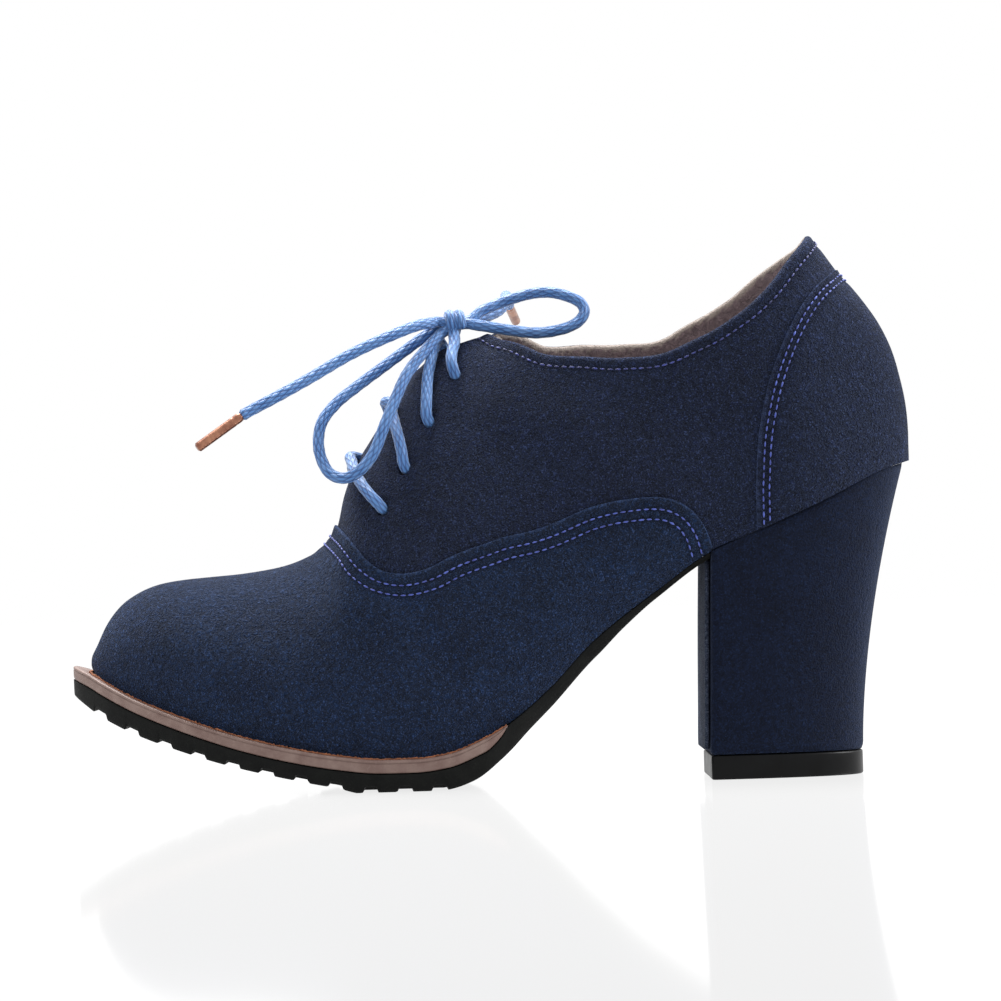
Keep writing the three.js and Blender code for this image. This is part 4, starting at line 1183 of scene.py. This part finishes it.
def cordFrames(line):
    tangent = unit(np.gradient(line, axis=0))
    first = unit(np.cross(tangent[0], [0.3, 0.2, 1.0]))
    sides = [first]
    for t in tangent[1:]:
        nextSide = sides[-1] - t * np.dot(sides[-1], t)
        sides.append(unit(nextSide))
    sides = np.array(sides)
    return tangent, sides, np.cross(tangent, sides)


def plaitedTube(skin, line, radius):
    # round plaited cord: strands cross in diamonds round it, and both ends are rounded off
    tangent, side, up = cordFrames(line)
    run = runOf(line)[:, None]
    a = np.linspace(0, 2 * math.pi, 32, endpoint=False)
    turn, phase = laces["strands"] * a[None, :] / 2, math.pi * run / laces["plaitPitch"]
    weave = np.abs(np.sin(turn + phase) * np.sin(turn - phase))
    size = radius * (1.0 - laces["weave"] * (0.6 - weave))
    points = ringsAround(line, side, up, a, size)
    whole = 2 * math.pi
    uv = np.dstack([np.broadcast_to(v, size.shape) for v in (a / whole, run / (whole * radius))])
    b = np.array([0.5, 0.9, 1.0])[:, None, None] * math.pi / 2
    caps = []
    for k, way in ((0, -1), (-1, 1)):
        centre = line[k] + tangent[k] * way * radius * 0.6 * np.sin(b)
        caps.append(centre + (points[k] - line[k]) * np.maximum(np.cos(b), 1e-5))
    points = np.concatenate([caps[0][::-1], points, caps[1]])
    uv = np.concatenate([np.repeat(uv[:1], 3, 0), uv, np.repeat(uv[-1:], 3, 0)])
    middle = len(points) // 2
    skin.grid(points, closed=True, outward=points[middle, 9] - points[middle].mean(0), uv=uv)


def eyeletPlace(row, side):
    return facingPlace(np.array([row[0]]), np.array([row[1]]), side)


def eyeletY(row, side):
    at, arch = eyeletPlace(row, side)
    return float(lastPoint(at, arch)[0, 1] - throatFrame(np.array([row[0]]))[0][0, 1])


def strandRoute(low, high, side, over, climb):
    # up out of its own hole, over the facing and the throat, and down under the facing across
    start, final = eyeletY(low, side), eyeletY(high, -side)
    crossing = 2.3 if over else -0.6
    rows = [(0.012, -4.2), (0.014, -2.0), (0.022, -0.2), (0.045, 1.05), (0.1, 1.6), (0.2, strandGrow),
            (0.34, strandGrow), (0.44, 1.9 if over else 1.1), (0.5, crossing), (0.55, 0.6 if over else -2.6),
            (0.6, -2.8), (0.66, -4.6)]
    t, grow = np.array(rows).T
    share = low[0] + (high[0] - low[0]) * t + climb * np.sin(np.clip(t / 0.5, 0, 1) * math.pi / 2)
    across = t ** (1 + climb * 4)
    return facingPoint(share, start * (1 - across) + final * across, grow)


crossingSkins = []
for i in range(3):
    skin = Skin(f"laceCrossing{i + 1}")
    for side, over in ((-1, i % 2 == 0), (1, i % 2 == 1)):
        route = strandRoute(eyelets[i], eyelets[i + 1], side, over, climbs[i])
        if i == 2 and over:
            route = facingPoint(*np.array(topStrand).T)
        plaitedTube(skin, smoothPath(route, laces["step"]), laces["radius"])
    crossingSkins.append(skin)

bow = {
    "laceEndLeft": [
        (-13.6, -4.6, 126.6), (-18, -10, 125.6), (-26, -15, 122.4), (-36, -19, 117.8), (-47, -24, 111.4),
        (-56, -28, 106.4), (-63, -30, 102.8), (-64.9, -30.8, 101.7),
    ],
    "laceLoopLeft": [
        (-12.4, -5.2, 122.6), (-16.3, -10, 118.4), (-21, -15.5, 112.2), (-24.2, -20, 105.4),
        (-27.4, -23.5, 97.8), (-30.6, -25.5, 90.3), (-34.5, -26, 85.8), (-38.4, -25.5, 84.1),
        (-42.2, -24, 85.4), (-44.5, -22, 89.2), (-45.4, -20, 94), (-44.4, -18, 99.5), (-40.5, -15, 104.7),
        (-35, -12, 109.2), (-28.1, -8.5, 114.3), (-21.9, -5, 118.9), (-16.5, -2.6, 122.8),
        (-13.2, -1.4, 124.9),
    ],
    "laceLoopRight": [
        (-2.6, -0.4, 127.8), (-0.5, 1, 129.6), (4.6, 3.4, 131.9), (9.2, 4, 133.4), (13.7, 4, 134.4),
        (18.7, 3, 134.5), (23.5, 2, 133.2), (27, 1, 131.2), (28, 0, 128.8), (26.8, -1, 126.5),
        (24, -2, 124.7), (19, -3, 123.4), (14, -3, 123.1), (8, -3, 123.9), (2, -3, 125),
        (-2.7, -2.6, 125.9),
    ],
    "laceEndRight": [
        (-5.1, 2.6, 126.9), (-1.2, 9, 128), (4.2, 17, 130.6), (6.2, 27, 133.7), (6.6, 39, 136.3),
        (7, 46, 136.2), (7.4, 53, 134.6),
    ],
}
aglets = {
    "agletLeft": ((-65.5, -31, 101.3), (-77.2, -35, 93)),
    "agletRight": ((7.45, 53.6, 134.4), (9.4, 66, 130.6)),
}
cordNodes = {
    "laceEndLeft": "lace_end_left",
    "laceLoopLeft": "lace_loop_left",
    "laceLoopRight": "lace_loop_right",
    "laceEndRight": "lace_end_right",
    "agletLeft": "aglet_left",
    "agletRight": "aglet_right",
}


def makeKnot():
    # the two strands from the top holes, the loops' and ends' first millimetres, and the turn that ties them
    skin = Skin("laceKnot")
    for side in (-1, 1):
        row = eyelets[3]
        y = eyeletY(row, side)
        t = np.array([-0.01, 0, 0.02, 0.06, 0.14, 0.3, 0.5])
        grow = np.array([-4.2, -2, -0.2, 1.0, 1.6, strandGrow, strandGrow])
        route = facingPoint(row[0] + np.maximum(t, 0) * knot["rise"], y * (1 - t), grow)
        route = np.concatenate([route, [knot["centre"] + (-0.6, side * 1.4, -0.6)]])
        plaitedTube(skin, smoothPath(route, laces["step"]), laces["radius"])
    for name, route in bow.items():
        ends = [(0, 1)] if "End" in name else [(0, 1), (-1, -2)]
        for first, second in ends:
            p, q = np.array(route[first], float), np.array(route[second], float)
            inside = knot["centre"] + (p - knot["centre"]) * 0.25
            stub = [inside, p - (q - p) * 0.25, p + (q - p) * 0.06]
            plaitedTube(skin, smoothPath(stub, laces["step"]), laces["radius"] * 0.98)
    a = np.linspace(-0.35, 2 * math.pi * knot["turns"], 26)
    turn = np.column_stack([
        -1.5 + 3.1 * a / 7.6, -knot["across"] * np.sin(a + 0.5), knot["high"] * np.cos(a + 0.5)])
    plaitedTube(skin, smoothPath(knot["centre"] + turn, laces["step"]), laces["radius"])
    return skin


knotSkin = makeKnot()
print("laces laid out")


# Materials

def noiseOf(tree, size, detail=2.0, rough=0.5, distort=0.0):
    # noise whose lumps are about size millimetres wide
    place = addNode(tree, "ShaderNodeTexCoord").outputs["Object"]
    settings = {"Vector": place, "Scale": 1 / (size * metre), "Detail": detail, "Roughness": rough}
    return addNode(tree, "ShaderNodeTexNoise", {**settings, "Distortion": distort}).outputs["Fac"]


def mathOf(tree, operation, *values):
    return addNode(tree, "ShaderNodeMath", {"operation": operation, **dict(enumerate(values))}).outputs[0]


def markOf(tree, name):
    # a value that the mesh carries at its points
    return addNode(tree, "ShaderNodeAttribute", {"attribute_name": name}).outputs["Fac"]


def rampOf(tree, value, low, high, first=(0, 0, 0, 1), second=(1, 1, 1, 1)):
    made = addNode(tree, "ShaderNodeValToRGB", {"Fac": value})
    made.color_ramp.elements[0].position, made.color_ramp.elements[1].position = low, high
    made.color_ramp.elements[0].color, made.color_ramp.elements[1].color = first, second
    return made.outputs["Color"]


def mixOf(tree, amount, first, second, blend="MIX"):
    settings = {"data_type": "RGBA", "blend_type": blend, 0: amount, 6: first, 7: second}
    return addNode(tree, "ShaderNodeMix", settings).outputs[2]


def finishMaterial(tree, colour, bump, strength, distance, settings):
    settings = {"Base Color": colour, **settings}
    if bump is not None:
        settings["Normal"] = addNode(tree, "ShaderNodeBump", {
            "Strength": strength, "Distance": distance * metre, "Height": bump})
    shader = addNode(tree, "ShaderNodeBsdfPrincipled", settings)
    addNode(tree, "ShaderNodeOutputMaterial", {"Surface": shader})


def makeSuede(name, colours, mottle, bumpStrength):
    # microsuede: knitted backing, polyurethane binder, sanded to a short nap; it scatters light softly,
    # its nap lies in short wavy strokes, brushed patches look lighter or darker, and the stitch grooves get
    # painted shade
    paint, tree = newMaterial(name)
    dark, middle, light = (linearColour(c) for c in colours)
    deepNapAndShade = [c * 0.3 for c in dark[:3]] + [1]
    patches = noiseOf(tree, 17, 3, 0.55)
    mottled = noiseOf(tree, 1.7, 3, 0.65, 0.8)
    strokes = noiseOf(tree, 1.05, 1.5, 0.5, 0.9)
    fibres = noiseOf(tree, 0.42, 1, 0.5)
    nap = rampOf(tree, mathOf(tree, "ABSOLUTE", mathOf(tree, "SUBTRACT", strokes, 0.5)), 0.0, 0.085)
    base = mixOf(tree, rampOf(tree, patches, 0.3, 0.7), dark, middle)
    shade = rampOf(tree, mottled, 0.34, 0.68, (1 - mottle,) * 3 + (1,), (1 + mottle,) * 3 + (1,))
    base = mixOf(tree, 1.0, base, shade, "MULTIPLY")
    base = mixOf(tree, mathOf(tree, "MULTIPLY", rampOf(tree, fibres, 0.52, 0.75), 0.45), base, light)
    base = mixOf(tree, mathOf(tree, "MULTIPLY_ADD", nap, -0.7, 0.7), base, deepNapAndShade)
    # painted shade: along the thread's groove the suede is darkened towards the deep colour
    base = mixOf(tree, mathOf(tree, "MULTIPLY", markOf(tree, "grooveShade"), 0.7), base, deepNapAndShade)
    cut = mathOf(tree, "MULTIPLY", markOf(tree, "edge"), mottled)
    base = mixOf(tree, mathOf(tree, "MULTIPLY", cut, 0.5), base, light)
    height = mathOf(tree, "MULTIPLY_ADD", nap, 0.5, mathOf(tree, "MULTIPLY_ADD", fibres, 0.35, mottled))
    finishMaterial(tree, base, height, bumpStrength, 1.6, {
        "Roughness": 0.93, "Specular IOR Level": 0.15, "Sheen Weight": 0.12, "Sheen Roughness": 0.4,
        "Sheen Tint": "#9db5ea"})
    return paint


def makeFleece():
    # short polyester fleece: matted tufts, mauve grey, paler where the cut edge shows its backing
    paint, tree = newMaterial("polyesterFleece")
    tufts = noiseOf(tree, 2.2, 3, 0.7, 1.0)
    fine = noiseOf(tree, 0.5, 2, 0.6)
    base = mixOf(tree, rampOf(tree, tufts, 0.32, 0.68), "#3d3336", "#857376")
    base = mixOf(tree, mathOf(tree, "MULTIPLY", fine, 0.4), base, "#a7979a")
    base = mixOf(tree, mathOf(tree, "MULTIPLY", markOf(tree, "edge"), 0.75), base, "#a59a90")
    finishMaterial(tree, base, mathOf(tree, "MULTIPLY_ADD", fine, 0.4, tufts), 0.9, 0.9, {
        "Roughness": 0.98, "Specular IOR Level": 0.1, "Sheen Weight": 0.25, "Sheen Roughness": 0.5})
    return paint


def makePlaitedLace():
    # waxed round cotton cord, plaited: the wax gives the strands a soft shine, and the colour is painted
    # darker in the grooves between strands (painted shade) and paler on their crowns (painted highlight)
    paint, tree = newMaterial("waxedPlaitedCotton")
    uv = addNode(tree, "ShaderNodeUVMap", {"uv_map": "along"})
    parts = addNode(tree, "ShaderNodeSeparateXYZ", {0: uv}).outputs
    slope = 2 * math.pi * laces["radius"] / (laces["plaitPitch"] * laces["strands"])
    waves = []
    for way in (slope, -slope):
        slant = mathOf(tree, "MULTIPLY_ADD", parts[1], way, parts[0])
        wave = mathOf(tree, "SINE", mathOf(tree, "MULTIPLY", slant, math.pi * laces["strands"]))
        waves.append(mathOf(tree, "ABSOLUTE", wave))
    weave = mathOf(tree, "MULTIPLY", *waves)
    wax = rampOf(tree, noiseOf(tree, 3.5, 3, 0.6), 0.4, 0.75)
    fibre = noiseOf(tree, 0.4, 2, 0.6)
    # painted shade in the grooves between the strands and painted highlight on their crowns
    base = mixOf(tree, rampOf(tree, weave, 0.02, 0.6), "#213f72", "#4c79b4")
    base = mixOf(tree, mathOf(tree, "MULTIPLY", wax, 0.5), base, "#6b91c2")
    finishMaterial(tree, base, mathOf(tree, "MULTIPLY_ADD", fibre, 0.3, weave), 0.55, 0.4, {
        "Roughness": 0.55, "Specular IOR Level": 0.4, "Sheen Weight": 0.25, "Sheen Roughness": 0.4})
    return paint


def makeThread(name, first, second):
    # twisted polyester sewing thread, a little shiny
    paint, tree = newMaterial(name)
    base = mixOf(tree, rampOf(tree, noiseOf(tree, 1.8, 1), 0.35, 0.65), first, second)
    finishMaterial(tree, base, None, 0, 0, {"Roughness": 0.5, "Specular IOR Level": 0.4, "Sheen Weight": 0.2})
    return paint


def makeRubber(name, colours, size, roughness, strength, fleck=0.0, shine=0.35):
    paint, tree = newMaterial(name)
    worn = noiseOf(tree, size * 9, 4, 0.6)
    grain = noiseOf(tree, size, 3, 0.65)
    base = mixOf(tree, rampOf(tree, worn, 0.35, 0.68), colours[0], colours[1])
    if fleck:
        base = mixOf(tree, mathOf(tree, "MULTIPLY", rampOf(tree, grain, 0.55, 0.8), fleck), base, colours[2])
    rough = addNode(tree, "ShaderNodeMapRange", {
        "Value": worn, "To Min": roughness - 0.1, "To Max": min(1, roughness + 0.12)})
    finishMaterial(tree, base, grain, strength, 0.2, {"Specular IOR Level": shine, "Roughness": rough})
    return paint


def makeTube():
    # injection moulded styrene tube, copper brown with a metallic lacquer
    paint, tree = newMaterial("lacqueredCopperTube")
    worn = noiseOf(tree, 2.5, 3, 0.6)
    base = mixOf(tree, rampOf(tree, worn, 0.4, 0.7), "#7a4a38", "#a8765c")
    finishMaterial(tree, base, worn, 0.1, 0.1, {
        "Roughness": 0.32, "Metallic": 0.7, "Coat Weight": 0.3, "Coat Roughness": 0.2})
    return paint


suede = makeSuede("navyMicrosuede", ("#0f152a", "#171f37", "#4f6190"), 0.5, 1.0)
vampSuede = makeSuede("blueNavyMicrosuede", ("#0c1930", "#142541", "#4c6598"), 0.5, 1.0)
heelSuede = makeSuede("smoothNavyMicrosuede", ("#0a1123", "#0e172c", "#203152"), 0.22, 0.45)
# a lit copy of the navy microsuede: the flap's face looks to the light, so its brushed nap is painted paler
# (painted light)
litFlapSuede = makeSuede("paintedLitNavyMicrosuede", ("#2b3242", "#3d4558", "#7f8aa2"), 0.4, 1.0)
fleece = makeFleece()
lacePaint = makePlaitedLace()
threadPaint = makeThread("blueVioletPolyesterThread", "#2c3a86", "#4659ae")
darkThread = makeThread("darkBluePolyesterThread", "#1a2152", "#2f3b86")
# moulded thermoplastic rubber band, taupe, semi matt
weltRubber = makeRubber("mouldedTaupeRubber", ("#6a544e", "#7d6962", "#93817a"), 0.5, 0.55, 0.25, 0.4)
# moulded black rubber tread, dusty where it was handled
soleRubber = makeRubber("mouldedBlackRubber", ("#0a0b0b", "#131413", "#2c2e2a"), 0.45, 0.75, 0.5, 0.35, 0.12)
# dense black rubber top lift, cut and polished, so it shines a little
liftRubber = makeRubber("polishedBlackRubber", ("#080809", "#0d0e0f", "#181818"), 0.8, 0.36, 0.12, 0, 0.12)
# orange brown fibres of the lasting thread that show between upper and welt
fibrePaint = makeRubber("rawLastingFibre", ("#7a4a33", "#a5694a", "#c28a66"), 0.3, 0.9, 0.8, 0.6)
agletPaint = makeTube()
print("materials made")


# Stitches along the seams

def stitchTree():
    tree = bpy.data.node_groups.new("stitchRow", "GeometryNodeTree")
    face = tree.interface
    face.new_socket("Geometry", in_out="INPUT", socket_type="NodeSocketGeometry")
    ids = {}
    for label, kind in (("Pitch", "NodeSocketFloat"), ("Stitch Length", "NodeSocketFloat"),
                        ("Thread Width", "NodeSocketFloat"), ("Seed", "NodeSocketInt"),
                        ("Thread", "NodeSocketMaterial")):
        ids[label] = face.new_socket(label, in_out="INPUT", socket_type=kind).identifier
    face.new_socket("Geometry", in_out="OUTPUT", socket_type="NodeSocketGeometry")
    start = addNode(tree, "NodeGroupInput").outputs
    line = addNode(tree, "GeometryNodeMeshToCurve", {"Mesh": start["Geometry"]})
    spaced = addNode(tree, "GeometryNodeResampleCurve", {
        "mode": "LENGTH", "Curve": line, "Length": start["Pitch"]})
    bead = addNode(tree, "GeometryNodeMeshUVSphere", {"Segments": 8, "Rings": 6, "Radius": 0.5})
    size = addNode(tree, "ShaderNodeCombineXYZ", {
        0: start["Stitch Length"], 1: start["Thread Width"], 2: start["Thread Width"]})
    shaped = addNode(tree, "GeometryNodeTransform", {"Geometry": bead.outputs["Mesh"], "Scale": size})
    along = addNode(tree, "GeometryNodeInputTangent")
    facing = addNode(tree, "FunctionNodeAlignRotationToVector", {"axis": "X", "Vector": along})
    varied = addNode(tree, "FunctionNodeRandomValue", {"data_type": "FLOAT", "Seed": start["Seed"]})
    floats = [s for s in varied.inputs if s.name in ("Min", "Max") and s.type == "VALUE"]
    floats[0].default_value, floats[1].default_value = 0.88, 1.08
    number = next(s for s in varied.outputs if s.type == "VALUE")
    placed = addNode(tree, "GeometryNodeInstanceOnPoints", {
        "Points": spaced, "Instance": shaped, "Rotation": facing, "Scale": number})
    real = addNode(tree, "GeometryNodeRealizeInstances", {"Geometry": placed})
    dyed = addNode(tree, "GeometryNodeSetMaterial", {"Geometry": real, "Material": start["Thread"]})
    addNode(tree, "NodeGroupOutput", {"Geometry": dyed})
    return tree, ids


stitchNodes, stitchIds = stitchTree()
stitching = {"pitch": 2.1, "length": 1.55, "width": 0.5, "lift": 0.02}


def onRelief(line, grow):
    # a seam line lifted or sunk with the panel's creases
    at = shareAt(line[:, 0])
    side = np.where(line[:, 1] < lastPoint(at, 0)[:, 1], -1.0, 1.0)
    arch = side * archAtHeight(at, line[:, 2], side)
    at, arch = nearestPlace(line, at, arch)
    plain, normal = lastPoint(at, arch), lastNormal(at, arch)
    return plain + normal * (grow + softForm(plain) + stitching["lift"])[:, None]


def sewRow(name, lines, grow, seed, paint=threadPaint):
    # a piece of its own for the stitch rows of one seam
    mesh = bpy.data.meshes.new(name + "Line")
    points, edges = [], []
    for line in lines:
        even = evenLine(onRelief(line, grow), 0.7)
        edges += [(len(points) + k, len(points) + k + 1) for k in range(len(even) - 1)]
        points += (even * metre).tolist()
    mesh.from_pydata(points, edges, [])
    guide = bpy.data.objects.new(name + "Guide", mesh)
    bpy.context.collection.objects.link(guide)
    tool = guide.modifiers.new("stitches", "NODES")
    tool.node_group = stitchNodes
    for label, measure in (("Pitch", "pitch"), ("Stitch Length", "length"), ("Thread Width", "width")):
        tool[stitchIds[label]] = stitching[measure] * metre
    tool[stitchIds["Seed"]], tool[stitchIds["Thread"]] = seed, paint
    graph = bpy.context.evaluated_depsgraph_get()
    sewn = bpy.data.meshes.new_from_object(guide.evaluated_get(graph))
    guide.modifiers.remove(tool)
    bpy.data.objects.remove(guide)
    sewn.polygons.foreach_set("use_smooth", [True] * len(sewn.polygons))
    made = bpy.data.objects.new(name, sewn)
    bpy.context.collection.objects.link(made)
    if not sewn.materials:
        sewn.materials.append(paint)
    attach(made, "root")


def punchHole(piece, place, normal, radius, depth):
    # a punched hole: faces inside it go, its rim is rounded to a circle and a wall runs inward
    centre, away = Vector(place * metre), Vector(normal)
    work = bmesh.new()
    work.from_mesh(piece.data)
    size = radius * metre

    def flat(v):
        off = v.co - centre
        return off - away * off.dot(away)

    inside = [v for v in work.verts if (v.co - centre).length < size * 1.6 and flat(v).length < size * 1.05]
    bmesh.ops.delete(work, geom=inside, context="VERTS")
    near = {v for v in work.verts if (v.co - centre).length < size * 2.4}
    rim = [e for e in work.edges if e.is_boundary and all(v in near for v in e.verts)]
    for v in {v for e in rim for v in e.verts}:
        side = flat(v)
        v.co += side.normalized() * size - side
    walls = bmesh.ops.extrude_edge_only(work, edges=rim)["geom"]
    for v in (g for g in walls if isinstance(g, bmesh.types.BMVert)):
        v.co -= away * depth * metre
    work.to_mesh(piece.data)
    work.free()
    piece.data.polygons.foreach_set("use_smooth", [True] * len(piece.data.polygons))


# Pieces

# radius of the lace holes and depth of their walls, in the suede and in the lining
holes = {"suede": (1.65, 2.3), "lining": (1.75, 0.3)}


def punchEyelets(piece, grow, way, radius, depth):
    for row in eyelets:
        for side in (-1, 1):
            at, arch = eyeletPlace(row, side)
            spot = formPoint(at, arch, np.array([grow]))[0]
            punchHole(piece, spot, way * lastNormal(at, arch)[0], radius, depth)


vamp, quarters = vampSkin.build(vampSuede), quarterSkin.build(suede)
counter, lining = counterSkin.build(suede), liningSkin.build(fleece)
punchEyelets(quarters, quarterGrow, 1, *holes["suede"])
punchEyelets(lining, liningGrow, -1, *holes["lining"])
for piece in (vamp, quarters, counter):
    finishPiece(piece, "upper")
finishPiece(lining, "upper")
finishPiece(tongueSkin.build(suede), "tongue")
finishPiece(tongueBack.build(fleece), "tongue")
finishPiece(insoleSkin.build(fleece), "insole")

sewRow("vampStitches", stitchLines.values(), vampGrow, 3)
sewRow("counterStitches", counterLines.values(), counterGrow, 5)
sewRow("collarStitches", collarLines.values(), quarterGrow, 7, darkThread)

finishPiece(weltSkin.build(weltRubber), "welt")
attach(fibreSkin.build(fibrePaint), "root")
finishPiece(outsoleSkin.build(soleRubber), "outsole")
finishPiece(makeHeel().build(heelSuede), "heel")
finishPiece(makeTopLift().build(liftRubber), "top_lift")
finishPiece(makeFlap().build(litFlapSuede), "heel_breast_flap")

for k, skin in enumerate(crossingSkins):
    finishPiece(skin.build(lacePaint, merge=None), f"lace_crossing_{k + 1}")
finishPiece(knotSkin.build(lacePaint, merge=None), "lace_knot")


def makeAglet(name):
    # crimped tube on the lace's tip
    first, second = (np.array(p, float) for p in aglets[name])
    long = float(np.linalg.norm(second - first))
    line = first + (second - first) * np.linspace(0, 1, 40)[:, None]
    run = np.linspace(0, long, 40)
    shape = 1 - 0.1 * np.exp(-((run - 0.1) / 0.35) ** 2) - 0.05 * np.exp(-((run - 2.2) / 0.3) ** 2)
    shape -= 0.35 * np.clip((run - long + 0.5) / 0.5, 0, 1) ** 2
    tangent, side, up = cordFrames(line)
    a = np.linspace(0, 2 * math.pi, 28, endpoint=False)
    points = pointedEnds(ringsAround(line, side, up, a, laces["agletRadius"] * shape[:, None]), line)
    skin = Skin(name)
    skin.grid(points, closed=True, outward=points - points.mean(1, keepdims=True))
    made = skin.build(agletPaint)
    finishPiece(made, cordNodes[name])
    return made


agletPieces = {name: makeAglet(name) for name in aglets}
for name, route in bow.items():
    line = smoothPath(route, 0.35)
    skin = Skin(name)
    plaitedTube(skin, line, laces["radius"])
    piece = skin.build(lacePaint, merge=None)
    finishPiece(piece, cordNodes[name])

print("pieces placed")
